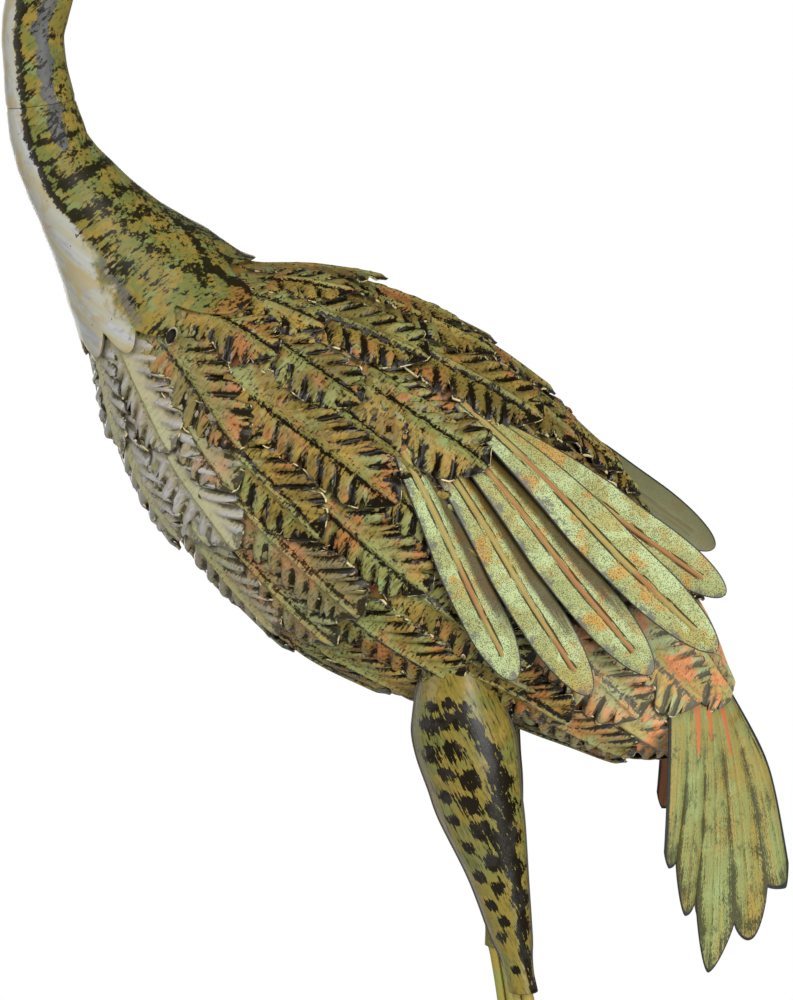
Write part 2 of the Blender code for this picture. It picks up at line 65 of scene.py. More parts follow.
# Sizes that the CAD parts have too
GAP = 0.3
SHEET = 1.2
FEATHER_SHEET = 1.0
FEATHER_DEPTH = 6.0
ROOT_LIFT = 0.8
LAYER = FEATHER_SHEET + 0.4
LEG_SPREAD = 90.0
ROD_RADIUS = 3.0
BUNDLE_OFFSET = (2 * ROD_RADIUS + GAP) / math.sqrt(3)
BUNDLE_RADIUS = BUNDLE_OFFSET + ROD_RADIUS
SLEEVE_WALL = 1.3
SLEEVE_DEPTH = 22.0
SEAT_CLEARANCE = 4.0
STRIDE = 14.0
STRIDE_CURVE = 3
BASE_LENGTH = 300.0
BASE_WIDTH = 200.0
BASE_THICKNESS = 4.0
BASE_CORNER = 24.0

# Stations of the trunk: top x, z, belly x, z, half width
TRUNK = (
    (-165, 1032, -187, 1010, 14.5),
    (-138, 997, -166, 987, 14.5),
    (-131, 953, -161, 957, 15),
    (-147, 911, -173, 929, 15.5),
    (-173, 878, -199, 898, 16.3),
    (-191, 849, -223, 865, 17.3),
    (-200, 823, -235, 831, 18),
    (-203.5, 800, -237.5, 803, 17.7),
    (-195, 764, -234.5, 755.5, 20),
    (-184.5, 746, -226.5, 726, 22.5),
    (-155, 720, -212.5, 692, 31),
    (-128.5, 704.5, -203, 661, 40),
    (-102, 688.5, -193.5, 631, 50),
    (-66, 684.5, -185, 600, 60),
    (-28, 673, -170, 562, 70),
    (11, 653, -146, 530, 77),
    (49, 625.5, -113, 495, 80),
    (82, 592.5, -76, 467, 79),
    (110, 559.5, -30, 448, 73),
    (132, 525, 17, 435.5, 64),
    (148, 494, 61, 420.5, 54),
    (157.5, 467, 97, 410.5, 42),
    (161, 446, 125, 410.5, 26),
    (151, 428, 140, 419, 6),
)
HEAD = (
    (-165.4, 1032.4, -187.4, 1010.4, 14.4),
    (-173, 1045, -199, 1013, 16),
    (-190, 1055, -211, 1016, 17.2),
    (-212, 1055, -221, 1018, 16.2),
    (-232, 1047, -232, 1020, 12.8),
    (-247, 1040.5, -246, 1022, 9.5),
)
UPPER_BEAK = (
    (-247.5, 1040, -247.0, 1031.7, 9),
    (-290, 1032.6, -289, 1026, 5.6),
    (-336, 1019.6, -335.6, 1017.6, 1.2),
)
LOWER_BEAK = (
    (-247.0, 1031.2, -246.6, 1022.6, 8.4),
    (-289, 1025.6, -288, 1020, 5),
    (-332, 1018, -331.6, 1016.4, 1),
)

# Eyes and crest plumes
EYE_STATION = 3.25
EYE_X = -219.0
EYE_Z = 1042.0
EYE_RADIUS = 3.6
EYE_HEIGHT = 3.4
PLUME_RADIUS = 2.2
PLUME_LENGTH = 88.0

# Neck: seam of collar and upper neck, start and depth of the collar's hollow, grids as rings and
# points around, the hem as angle and station, and the station and angle of its rolled tab
NECK_SEAM = 7.7
SOCKET_END = 10.7
SOCKET_RINGS = 24
SOCKET_DEPTH = 2.0
COLLAR_FLARE = 1.2
HEM_CURL = 0.7
UPPER_NECK_GRID = (130, 56)
COLLAR_GRID = (90, 200)
HEM = (
    (0, 12.04), (30, 11.8), (61, 12.75), (78, 11.86), (92, 12.3), (106, 11.9),
    (117, 12.2), (129, 11.64), (144, 12.0), (161, 11.6), (180, 11.9),
)
TAB_PLACE = (12.35, 92)

# Painted lines on the neck, as station and angle
THROAT_LINE = (
    (0, 118), (4, 119), (6, 118), (7.5, 115), (8.2, 113), (8.9, 111), (9.4, 110), (9.8, 105),
    (10.3, 103), (10.7, 102), (11.5, 102), (12.8, 106),
)
NAPE_BAND = (
    (0, -40), (9.5, -20), (9.9, 2), (10.3, 13), (10.8, 24), (11.3, 35), (11.85, 40), (12.8, 46),
)

# Feathers of the left side: name, station and angle of the root, station and angle of the tip,
# width, and the layers that the tip is lifted by. Each of these stands for a CAD node.
COVERTS = (
    ("a1", 11.85, 124, 13.86, 125, 33, 2.3),
    ("a2", 12.00, 97, 14.40, 103, 34, 2.3),
    ("a3", 11.95, 71, 13.67, 71, 33, 2.9),
    ("a4", 12.25, 28, 13.67, 24, 30, 2.9),
    ("b1", 13.20, 127, 15.39, 132, 34, 2.6),
    ("b2", 13.60, 106, 15.83, 107, 35, 2.6),
    ("b3", 13.55, 87, 16.05, 83, 36, 3.3),
    ("b4", 12.95, 66, 14.89, 67, 30, 2.3),
    ("b5", 12.95, 44, 15.01, 38, 35, 2.6),
    ("c1", 14.75, 120, 16.86, 119, 36, 2.6),
    ("c2", 15.20, 99, 17.10, 98, 34, 2.3),
    ("c3", 14.60, 61, 16.39, 58, 36, 5.1),
    ("c4", 14.60, 34, 16.40, 31, 34, 7.5),
)
# The same for feathers without a node of their own, on the sides and along the middle
EXTRA_FEATHERS = (
    ("a0", 11.6, 152, 13.5, 155, 32, 2.0),
    ("b0", 12.4, 150, 14.95, 156, 34, 2.4),
    ("b6", 13.4, 17, 15.52, 14, 30, 3.0),
    ("c0", 14.3, 146, 16.52, 155, 34, 2.4),
    ("c5", 15.0, 17, 16.92, 20, 28, 2.6),
    ("c6", 15.9, 7, 17.6, 8, 26, 2.6),
    ("d0", 15.9, 158, 18.02, 166, 32, 2.4),
    ("d1", 16.2, 120, 18.33, 127, 34, 2.6),
    ("d2", 16.6, 100, 18.7, 104, 34, 1.6),
    ("d3", 16.5, 78, 18.6, 82, 34, 1.2),
    ("d4", 16.9, 48, 19.0, 50, 34, 0.8),
    ("d5", 17.3, 22, 19.3, 22, 30, 1.2),
    ("d6", 17.2, 142, 19.3, 146, 32, 2.2),
    ("e1", 17.9, 120, 19.75, 124, 32, 2.6),
    ("e2", 18.6, 127, 21.06, 140, 32, 2.2),
    ("e3", 18.4, 88, 20.4, 98, 34, 2.6),
    ("e4", 18.9, 66, 21.1, 62, 34, 3.0),
    ("e5", 19.1, 40, 21.9, 28, 32, 3.4),
    ("e6", 18.9, 160, 21.2, 168, 30, 2.2),
    ("g1", 14.9, 134, 17.0, 138, 32, 1.4),
    ("g2", 15.3, 81, 17.2, 79, 32, 1.4),
    ("g3", 13.9, 55, 15.9, 52, 30, 1.4),
    ("g4", 14.1, 73, 16.0, 72, 30, 1.2),
    ("g5", 12.7, 110, 14.8, 116, 30, 1.2),
    ("g6", 17.1, 112, 19.1, 116, 32, 1.4),
    ("g7", 13.0, 138, 15.2, 142, 30, 1.2),
    ("g8", 16.2, 146, 18.3, 151, 34, 1.6),
    ("f1", 19.9, 108, 22.0, 120, 28, 1.8),
    ("f2", 20.0, 82, 22.1, 84, 28, 1.4),
    ("h1", 15.5, 30, 17.7, 37, 34, 1.6),
    ("h2", 11.85, 50, 13.8, 50, 30, 1.2),
)
MIDDLE_FEATHERS = (
    ("back_1", 11.9, 3, 13.9, 0, 30, 4.2),
    ("back_2", 13.0, 4, 15.0, 6, 32, 3.4),
    ("back_3", 14.5, -4, 16.4, -6, 32, 2.6),
    ("back_4", 16.0, 2, 18.0, 4, 32, 2.4),
    ("back_5", 17.6, 0, 19.8, 0, 34, 2.6),
    ("back_6", 19.4, 0, 21.9, 0, 34, 2.6),
    ("belly_1", 11.5, 180, 13.3, 180, 34, 2.2),
    ("belly_2", 13.0, 180, 15.1, 180, 34, 2.2),
    ("belly_3", 14.8, 180, 16.9, 180, 34, 2.2),
    ("belly_4", 16.6, 180, 18.8, 180, 34, 2.2),
    ("belly_5", 18.5, 180, 20.6, 180, 32, 2.2),
    ("belly_6", 20.2, 180, 22.2, 180, 28, 1.8),
)

# Stamped feather: grid, pleats and ribs
LEAF_ROWS = 54
LEAF_COLUMNS = (0, 0.06, 0.13, 0.22, 0.36, 0.52, 0.68, 0.82, 0.93, 1.0)
PLEAT_SLANT = 0.70
PLEAT_PITCH = 9.8
PLEAT_HEIGHT = 2.3
RIB_HEIGHT = 2.1
RIB_HALF = 1.7
LOBES = 5
INK_NARROW = 2.8
SCALLOP = 0.11
EDGE_DROP = 1.5
TIP_RISE = 1.9
UNDER_REACH = 4.2
FEATHER_SPREAD = 1.16

# Wing feathers of the left side, as in the frame: station and angle of the root and the layers
# it is lifted by, the tip's x, y, z and the layers it is moved out by, and the width
PRIMARIES = (
    (15.62, 70, 3.0, 42, 75.5, 470.5, 0.0, 24),
    (15.75, 62, 1.1, 82, 75.5, 463.5, 2.0, 25),
    (15.75, 54, 1.8, 115, 75.5, 475.5, 3.8, 26),
    (15.62, 44, 2.5, 149, 75.5, 489.5, 7.4, 27),
    (15.80, 43.0, 0.2, 154, 67.0, 516.0, 0.0, 25),
)
PRIMARY_ROOT_WIDTH = 0.42
PRIMARY_BOW = 7.0
WING_RIB_HEIGHT = 1.3
WING_CLEARANCE = 0.2
WING_GRID = (76, 29)

# Tail fan of the left side, from the rear ridge forward
TAIL_TOP_REAR = (21.35, 7)
TAIL_TOP_FRONT = (20.75, 84)
TAIL_FINGERS = ((191, 8, 338), (171, 25, 313), (148, 41, 299), (134.5, 55, 335), (125, 64, 364))
TAIL_NOTCHES = ((182, 16, 341), (163, 34, 325), (141, 49, 344), (129.5, 60, 367))
TAIL_TIP_POWERS = (1.9, 0.75)
TAIL_KINK_WEIGHT = 3.5
TAIL_MIDDLE_POWERS = (1.35, 0.95)
TAIL_REAR_KINK = (184, 3, 408)
TAIL_FRONT_KINK = (125, 57, 405)
TAIL_FLUTE = 2.4
TAIL_GRID = (60, 101)
TAIL_OUTWARD = (0.45, 0.85, 0.28)
TAIL_DRIPS = ((0.32, 50), (0.52, 38), (0.68, 38))

# Thigh sections: height, front x, rear x, half thickness
THIGH = (
    (478, -6, 27, 14),
    (458, -11, 32, 16.5),
    (444, -13, 38, 17.2),
    (433, -13.5, 41.5, 17.2),
    (419, -10.5, 43.5, 16.8),
    (402, -4.5, 45, 15.6),
    (385, 1.5, 47, 14),
    (352, 17.6, 49.2, 11),
    (320, 29.5, 51.4, 9),
)
SLEEVE_LINE = ((307, 43.5), (289, 47.2))
THIGH_GRID = (130, 80)
SEAM_HEIGHT = 1.1
SEAM_WIDTH = 0.0022

# Ink on the thigh: spots as height, share across and radius, and the rear streak as height,
# share across and half width
THIGH_SPOTS = (
    (451, 0.20, 3.4), (454, 0.40, 3.6), (452, 0.60, 3.4), (441, 0.17, 5.0), (444, 0.34, 5.4),
    (445, 0.50, 5.0), (438, 0.66, 5.6), (424, 0.16, 5.2), (427.3, 0.40, 6.0), (411.6, 0.50, 6.2),
    (397, 0.42, 6.0), (382.9, 0.50, 6.2), (363.8, 0.49, 5.4), (350.3, 0.49, 4.4),
    (330.7, 0.45, 3.4), (321.7, 0.30, 3.0), (413.8, 0.26, 4.2), (400.4, 0.19, 3.8),
    (387.4, 0.17, 3.6), (372.3, 0.25, 3.6), (355.4, 0.22, 3.8), (339.7, 0.25, 3.4),
    (303, 0.42, 2.6),
)
THIGH_STREAK = (
    (446, 0.62, 0.03), (437.4, 0.67, 0.07), (424, 0.77, 0.10), (409.3, 0.81, 0.11), (397, 0.78, 0.16),
    (382.4, 0.78, 0.15), (371.1, 0.74, 0.20), (358.8, 0.81, 0.15), (345.3, 0.83, 0.13),
    (338.5, 0.84, 0.15), (328.4, 0.84, 0.13), (314.9, 0.78, 0.18), (301.4, 0.86, 0.13),
    (289, 0.90, 0.11),
)

# Legs: x and height of the rods' line, and toes as share of the reach and share of the radius
LEG_LINE = (
    (48.6, 283), (52, 262), (57, 225), (61, 180), (63, 130), (62.8, 85), (61.4, 52), (61, 34),
)
TOE_SPLAY = 24.0
TOE_REACH = 92.0
TOE = ((0.3, 1), (0.6, 1), (0.85, 0.88), (0.95, 0.68), (0.985, 0.5), (1.0, 0.3))
HIND_BEND = 16.0
HIND_REACH = 24.0
HIND_TOE = ((0.4, 1), (0.75, 0.9), (0.92, 0.66), (1.0, 0.3))


def srgb(red, green, blue):
    """Linear colour of a screen colour given from 0 to 255."""
    shares = [value / 255 for value in (red, green, blue)]
    linear = [v / 12.92 if v <= 0.04045 else ((v + 0.055) / 1.055) ** 2.4 for v in shares]
    return (*linear, 1.0)


# Screen colours
OCHRE = (148, 122, 56)
OLIVE = (110, 98, 44)
SAGE = (126, 132, 78)
MINT = (126, 150, 96)
COPPER = (160, 98, 54)
SALMON = (226, 128, 88)
INK = (20, 15, 4)
EDGE_GREY = (58, 54, 44)
# Painted glint on the cut edges of feathers
EDGE_GLINT = (196, 184, 140)
CREAM = (156, 152, 128)
# Painted sheen on the pleat crests of the pale feathers
LILAC_SHEEN = (158, 157, 156)
RUST = (140, 78, 44)
BROWN = (110, 84, 44)


# Node helpers

class Paint:
    """A painted-metal material and short calls for its nodes. Layers of paint go on its colour."""

    def __init__(self, name):
        self.material = bpy.data.materials.new(name)
        self.material.use_nodes = True
        self.tree = self.material.node_tree
        self.shader = self.tree.nodes["Principled BSDF"]
        self.place = self.add("ShaderNodeTexCoord").outputs["Object"]
        self.colour = None

    def add(self, kind, inputs=(), **settings):
        item = self.tree.nodes.new(kind)
        for key, value in settings.items():
            setattr(item, key, value)
        for key, value in dict(inputs).items():
            self.feed(item.inputs[key], value)
        return item

    def feed(self, socket, value):
        if isinstance(value, bpy.types.NodeSocket):
            self.tree.links.new(value, socket)
        else:
            socket.default_value = value

    def value(self, name, kind="Fac"):
        """A number, or with kind Vector a vector, painted on the mesh's points."""
        return self.add("ShaderNodeAttribute", attribute_name=name).outputs[kind]

    def math(self, operation, first, second):
        return self.add("ShaderNodeMath", {0: first, 1: second}, operation=operation).outputs[0]

    def times(self, first, second):
        return self.math("MULTIPLY", first, second)

    def plus(self, first, second):
        return self.math("ADD", first, second)

    def minus(self, first, second):
        return self.math("SUBTRACT", first, second)

    def rest(self, value, share=1.0):
        """What a share of a value leaves of 1."""
        return self.minus(1.0, self.times(value, share))

    def total(self, *parts, less=0.0):
        """Sum of values, each times its weight, less a number."""
        result = -less
        for value, weight in parts:
            result = self.plus(result, self.times(value, weight))
        return result

    def ragged(self, value, noise, amount):
        """A value made uneven by a noise, which is about 0.5."""
        return self.plus(value, self.times(self.minus(noise, 0.5), amount))

    def step(self, value, low, high):
        """Smooth change from 0 to 1 as a value goes from low to high."""
        inputs = {"Value": value, "From Min": low, "From Max": high}
        item = self.add("ShaderNodeMapRange", inputs, interpolation_type="SMOOTHSTEP")
        return item.outputs["Result"]

    def noise(self, vector, scale, detail=4.0, roughness=0.6, distortion=0.0):
        inputs = {"Vector": vector, "Scale": scale, "Detail": detail, "Roughness": roughness,
                  "Distortion": distortion}
        return self.add("ShaderNodeTexNoise", inputs).outputs["Fac"]

    def shifted(self):
        """The place on the part, moved by an amount of each piece's own."""
        inputs = {0: self.place, 1: self.value("shift", "Vector")}
        return self.add("ShaderNodeVectorMath", inputs).outputs[0]

    def stretched(self, vector, scale):
        """Coordinates scaled by a different amount along each axis."""
        return self.add("ShaderNodeMapping", {"Vector": vector, "Scale": scale}).outputs[0]

    def drawn(self, vector, share, scale, detail=4.0, roughness=0.6):
        """Noise drawn out along the first axis of its coordinates."""
        return self.noise(self.stretched(vector, (share, 1.0, 1.0)), scale, detail, roughness)

    def bristles(self, scale, turn, ratio=4.0):
        """Noise drawn out along one direction of the side view, like marks of a dry brush."""
        inputs = {"Vector": self.place, "Rotation": (0, turn, 0), "Scale": (ratio, 1, 1)}
        item = self.add("ShaderNodeMapping", inputs, vector_type="TEXTURE")
        return self.noise(item.outputs[0], scale, 3, 0.7)

    def mix(self, factor, first, second):
        """A blend of two colours, each a screen colour or a node's output."""
        item = self.add("ShaderNodeMix", data_type="RGBA")
        for index, value in ((0, factor), (6, first), (7, second)):
            self.feed(item.inputs[index], srgb(*value) if isinstance(value, tuple) else value)
        return item.outputs[2]

    def ground(self, value, low, high, first, second):
        """The first coat: one colour that gives way to another as a value goes from low to high."""
        self.colour = self.mix(self.step(value, low, high), first, second)

    def cover(self, mask, colour):
        self.colour = self.mix(mask, self.colour, colour)

    def layer(self, value, low, high, share, colour):
        """Paint where a value goes from low to high; the share says how much of it covers."""
        mask = self.step(value, low, high)
        self.cover(mask if share == 1 else self.times(mask, share), colour)

    def finish(self, roughness, bump, distance, coat=0.0):
        """Connects the colour, the roughness and the height of the bumps to the shader."""
        item = self.add("ShaderNodeBump", {"Height": bump, "Distance": distance, "Strength": 0.6})
        inputs = {"Base Color": self.colour, "Roughness": roughness, "Metallic": 0.0,
                  "Coat Weight": coat, "Coat Roughness": 0.35, "Specular IOR Level": 0.16,
                  "Normal": item.outputs["Normal"]}
        for name, value in inputs.items():
            self.feed(self.shader.inputs[name], value)
        return self.material


# Geometry helpers: points are arrays in millimetres until a mesh is made

def row_values(rows, place):
    """Values of a row table at places between its rows, on a smooth curve through them."""
    table = np.array(rows, float)
    last = len(table) - 1
    place = np.clip(np.asarray(place, float), 0.0, last - 1e-6)
    index = place.astype(int)
    t = (place - index)[..., None]
    before, start, end, after = (table[np.clip(index + step, 0, last)] for step in (-1, 0, 1, 2))
    slope = (end - before) * t
    bend = (2 * before - 5 * start + 4 * end - after) * t * t
    twist = (3 * start - before - 3 * end + after) * t ** 3
    return 0.5 * (2 * start + slope + bend + twist)


def vectors(x, y, z):
    """Vectors from three grids of numbers."""
    return np.stack(np.broadcast_arrays(x, y, z), -1)


def section(rows, place, angle, lift=0.0, side=-1):
    """Points on sections: angle in degrees from the top, lift outward from the surface."""
    top_x, top_z, low_x, low_z, half = np.moveaxis(row_values(rows, place), -1, 0)
    rise_x = (top_x - low_x) / 2
    rise_z = (top_z - low_z) / 2
    radius = np.hypot(rise_x, rise_z)
    turn = np.radians(angle)
    up = (radius + lift) / radius * np.cos(turn)
    x = (top_x + low_x) / 2 + rise_x * up
    z = (top_z + low_z) / 2 + rise_z * up
    return vectors(x, side * (half + lift) * np.sin(turn), z)


def on_body(place, angle, lift, side=-1):
    """Points above the bare body shell, which lies one feather depth inside the outline."""
    return section(TRUNK, place, angle, lift - FEATHER_DEPTH, side)


def unit(vectors):
    return vectors / np.linalg.norm(vectors, axis=-1, keepdims=True)


def ramp(low, high, value):
    """Smooth change from 0 to 1 as a value goes from low to high."""
    t = np.clip((value - low) / (high - low), 0, 1)
    return t * t * (3 - 2 * t)


def bell(value, width):
    """1 where a value is 0, and near 0 more than two widths away."""
    return np.exp(-(value / width) ** 2)


def waves(value, pitch):
    """Waves from 0 to 1 with a crest where a value is 0."""
    return 0.5 + 0.5 * np.cos(2 * math.pi * value / pitch)


def dot(first, second):
    return (first * second).sum(-1, keepdims=True)


def full_turn(count):
    """Evenly spread angles round a circle, in radians."""
    return np.linspace(0, 2 * math.pi, count, endpoint=False)


def painted(values, shape):
    """Numbers and vectors painted on a grid of points, each spread over the grid as one list."""
    lists = {}
    for key, numbers in values.items():
        parts = (3,) if key in ("leaf", "shift") else ()
        lists[key] = np.broadcast_to(numbers, (*shape, *parts)).reshape(-1, *parts)
    return lists


def padded(values, rows, **beyond):
    """Values of a grid that gets more rows, on which each is one number, 0 if none is given."""
    return {key: np.concatenate([numbers, np.full((rows, *numbers.shape[1:]), beyond.get(key, 0.0))])
            for key, numbers in values.items()}


def add_piece(name, points, faces, slot, stands_for, values, sharp):
    """One mesh that rides on the frame, with numbers painted on its points."""
    mesh = bpy.data.meshes.new(name)
    mesh.from_pydata((np.asarray(points) * MM).tolist(), [], faces)
    body = bmesh.new()
    body.from_mesh(mesh)
    bmesh.ops.recalc_face_normals(body, faces=body.faces)
    body.to_mesh(mesh)
    body.free()
    for key, numbers in values.items():
        vector = numbers.ndim == 2
        layer = mesh.attributes.new(key, "FLOAT_VECTOR" if vector else "FLOAT", "POINT")
        layer.data.foreach_set("vector" if vector else "value", np.float32(numbers).ravel())
    mesh.materials.append(PAINTS[slot])
    mesh.shade_smooth()
    mesh.set_sharp_from_angle(angle=math.radians(sharp))
    item = bpy.data.objects.new(name, mesh)
    bpy.context.collection.objects.link(item)
    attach(item, "root")
    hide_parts(*stands_for)


def grid_faces(rows, cols, closed):
    """Faces of a grid of points, row by row; closed joins the last column to the first."""
    faces = []
    for row in range(rows - 1):
        for col in range(cols if closed else cols - 1):
            near = row * cols + col
            side = row * cols + (col + 1) % cols
            faces.append((near, side, side + cols, near + cols))
    return faces


def add_loft(name, grid, slot, stands_for=(), values=None):
    """A tube through rings of points, with flat ends."""
    rows, cols = grid.shape[:2]
    faces = grid_faces(rows, cols, True)
    faces.append(tuple(reversed(range(cols))))
    faces.append(tuple(range((rows - 1) * cols, rows * cols)))
    values = painted(values or {}, (rows, cols))
    add_piece(name, grid.reshape(-1, 3), faces, slot, stands_for, values, 60)


def add_sheet(name, top, bottom, slot, stands_for, values):
    """A thin closed sheet between two grids of points; the numbers hold for both faces."""
    rows, cols = top.shape[:2]
    under = rows * cols
    faces = grid_faces(rows, cols, False)
    faces += [tuple(index + under for index in reversed(face)) for face in faces]
    border = list(range(cols))
    border += [row * cols + cols - 1 for row in range(1, rows)]
    border += [(rows - 1) * cols + col for col in reversed(range(cols - 1))]
    border += [row * cols for row in reversed(range(1, rows - 1))]
    for here, after in zip(border, border[1:] + border[:1]):
        faces.append((after, here, here + under, after + under))
    both = {key: np.concatenate([n, n]) for key, n in painted(values, (rows, cols)).items()}
    both["inside"] = np.repeat((0.0, 1.0), under)
    points = np.concatenate([top, bottom]).reshape(-1, 3)
    add_piece(name, points, faces, slot, stands_for, both, 50)


def line_value(line, place):
    """Angle of a painted line at a station."""
    stations, angles = zip(*line)
    return np.interp(place, stations, angles)


# Materials

def feather_paint():
    """Ochre, olive, sage and copper patches, ink brushed into the pleats, dark cut edges; painted shade,
    painted sheen and painted edge glints.
    """
    p = Paint("feather_paint")
    shifted = p.shifted()
    warm = p.value("warm")
    pale = p.value("pale")
    calm = p.rest(warm, 0.6)
    p.ground(p.noise(shifted, 26, 3, 0.55), 0.38, 0.62, OCHRE, OLIVE)
    p.layer(p.noise(shifted, 31, 3), 0.48, 0.62, 0.6, (96, 78, 38))
    p.layer(p.noise(p.stretched(shifted, (1.0, 1.0, 1.2)), 34, 3, 0.6, 0.4), 0.47, 0.64, 0.85, SAGE)
    p.layer(p.drawn(shifted, 1.3, 34), 0.51, 0.66, 0.8, COPPER)
    p.cover(p.times(warm, 0.85), (200, 172, 104))
    p.layer(p.noise(shifted, 48, 3), 0.45, 0.58, warm, (160, 180, 138))
    p.layer(p.noise(shifted, 60, 3), 0.48, 0.60, warm, SALMON)
    p.layer(p.noise(shifted, 75, 3), 0.58, 0.74, 0.7, MINT)
    # Pale chest paint: cream, with lilac painted sheen on the pleat crests
    crest = p.ragged(p.value("crest"), p.noise(p.place, 90, 3), 1.6)
    p.cover(p.times(pale, 0.85), p.mix(p.step(crest, 0.35, 0.85), CREAM, LILAC_SHEEN))
    # Painted shade: darker brown in the pleat valleys, less of it on the rump feathers
    low = p.ragged(p.value("low"), p.noise(p.place, 130, 3), 0.8)
    p.layer(low, 0.25, 1.0, p.times(calm, 0.62), (74, 60, 26))
    grain = p.noise(p.place, 420, 5, 0.7)
    p.layer(grain, 0.52, 0.75, 0.25, BROWN)

    # Brush marks: across the feather, finer ones, along its rib, and across the pleats
    hatch = p.bristles(640, -0.9)
    fine = p.bristles(820, -0.9, 6.0)
    along = p.times(p.minus(p.bristles(760, 0.7, 5.0), 0.5), p.step(p.value("spine"), 0.1, 0.6))
    streak = p.noise(p.stretched(p.value("leaf", "Vector"), (0.25, 1.1, 1.0)), 1.0, 5, 0.75)
    shade = p.step(p.noise(p.place, 55, 3), 0.36, 0.62)
    brushed = p.times(p.times(p.plus(p.times(shade, 0.45), 0.22), calm), p.rest(pale, 0.55))
    p.layer(fine, 0.45, 0.62, brushed, (48, 38, 14))
    # Painted sheen: grey beside the ink strokes, in the outer part of some pleats
    p.layer(p.ragged(p.value("satin"), hatch, 1.4), 0.42, 0.60, 0.85, (128, 124, 122))
    p.cover(p.times(p.value("rib"), 0.45), SAGE)
    stroke = p.total((p.value("stroke"), 1), (streak, 0.9), (fine, 1.4), (hatch, 1.5), (along, 1.6),
                     (warm, -0.10), (pale, -0.19), less=1.88)
    ink = p.step(stroke, 0.38, 0.62)
    # Painted shadow just outside the edges of the feathers that lie over this one
    p.layer(p.ragged(p.value("under"), fine, 0.9), 0.10, 0.85, 0.85, (36, 26, 8))
    dark = p.mix(p.times(warm, 0.9), INK, (118, 114, 94))
    p.cover(p.times(ink, p.rest(pale, 0.42)), dark)

    p.cover(p.times(p.value("inside"), 0.85), RUST)
    # Cut edges: dark grey, with painted glints in places
    edge = p.mix(p.step(p.noise(p.place, 160, 3), 0.52, 0.60), EDGE_GREY, EDGE_GLINT)
    p.layer(p.value("rim"), 0.35, 0.6, 1, edge)
    roughness = p.total((grain, 0.2), (ink, -0.10), less=-0.26)
    return p.finish(roughness, p.total((hatch, 0.5), (streak, 0.5)), 0.0003)


def wing_paint():
    """Sage speckled with black, ochre patches, orange ribs with fine dark lines beside them."""
    p = Paint("wing_paint")
    blade = p.value("leaf", "Vector")
    shifted = p.shifted()
    p.ground(p.noise(shifted, 26), 0.42, 0.58, (154, 160, 106), (160, 150, 86))
    p.layer(p.noise(shifted, 52), 0.48, 0.60, 0.85, (170, 186, 136))
    p.layer(p.noise(shifted, 38), 0.53, 0.62, 0.85, (178, 136, 66))

    # Black dots, closer together in some places, and soft dirt
    speck = p.drawn(blade, 0.8, 2.2, 3, 0.8)
    cells = p.add("ShaderNodeTexVoronoi", {"Vector": p.stretched(blade, (0.8, 1.0, 1.0)), "Scale": 1.9})
    density = p.noise(shifted, 90, 4, 0.7)
    chosen = p.step(p.total((cells.outputs["Color"], 1), (density, 1.8)), 1.10, 1.16)
    near = p.step(p.total((cells.outputs["Distance"], 1), (speck, 0.4)), 0.68, 0.50)
    dots = p.times(chosen, near)
    p.cover(p.times(dots, 0.9), (28, 26, 12))
    p.layer(p.drawn(blade, 0.7, 3.4, 3, 0.8), 0.52, 0.68, 0.55, (66, 62, 34))

    shade = p.ragged(p.value("shade"), p.drawn(blade, 0.10, 0.9, 5, 0.7), 0.9)
    p.layer(shade, 0.15, 0.80, 0.88, (58, 44, 12))
    worn = p.ragged(p.value("worn"), p.noise(shifted, 120, 5, 0.8), 3.0)
    p.layer(p.ragged(worn, speck, 1.0), 0.50, 0.66, 0.85, (94, 92, 88))
    tone = p.mix(p.step(p.noise(shifted, 22, 2), 0.42, 0.58), (148, 104, 64), (152, 136, 78))
    p.layer(p.value("rib"), 0.30, 0.55, 1, p.mix(p.times(dots, 0.25), tone, BROWN))
    line = p.times(p.value("line"), p.step(p.drawn(blade, 0.10, 0.6, 3), 0.40, 0.52))
    p.layer(line, 0.30, 0.5, 0.9, (40, 34, 14))
    p.cover(p.times(p.value("inside"), 0.9), (104, 102, 74))
    p.layer(p.value("rim"), 0.40, 0.75, 1, (44, 44, 42))
    return p.finish(p.total((speck, 0.2), less=-0.32), speck, 0.0002)


def tail_paint():
    """Sage and yellow with grey-black streaks down the flutes, rust-brown inside."""
    p = Paint("tail_paint")
    sheet = p.value("leaf", "Vector")
    p.ground(p.noise(p.place, 30), 0.45, 0.6, (138, 144, 86), (150, 134, 70))
    p.layer(p.drawn(sheet, 0.10, 0.13, 3), 0.47, 0.60, 0.65, (156, 130, 58))
    p.layer(p.noise(p.place, 60, 3), 0.52, 0.66, 0.6, (140, 160, 106))
    streak = p.drawn(sheet, 0.05, 0.8, 6, 0.75)
    p.layer(streak, 0.50, 0.66, 0.6, (92, 94, 60))
    speck = p.drawn(sheet, 0.35, 1.9, 4, 0.75)
    rough = p.total((streak, 1), (speck, 1.4))
    stroke = p.total((p.value("stroke"), 1), (rough, 1), less=1.2)
    p.layer(p.ragged(stroke, p.noise(p.place, 75, 3), 0.9), 0.52, 0.64, 0.88, (46, 46, 30))
    p.layer(p.drawn(sheet, 0.5, 1.3, 4, 0.8), 0.50, 0.60, 0.6, (88, 92, 62))
    smear = p.noise(p.stretched(p.place, (1.0, 1.0, 0.6)), 95, 5, 0.8)
    p.layer(smear, 0.57, 0.66, 0.7, (66, 68, 46))
    drip = p.ragged(p.value("warm"), p.noise(p.place, 220), 1.6)
    p.layer(drip, 0.4, 0.7, 0.85, (186, 104, 66))
    p.layer(p.value("inside"), 0.4, 0.6, 1, (136, 84, 52))
    p.layer(p.ragged(p.value("rim"), speck, 0.5), 0.46, 0.62, 1, (42, 44, 42))
    return p.finish(p.total((speck, 0.2), less=-0.34), rough, 0.0003)


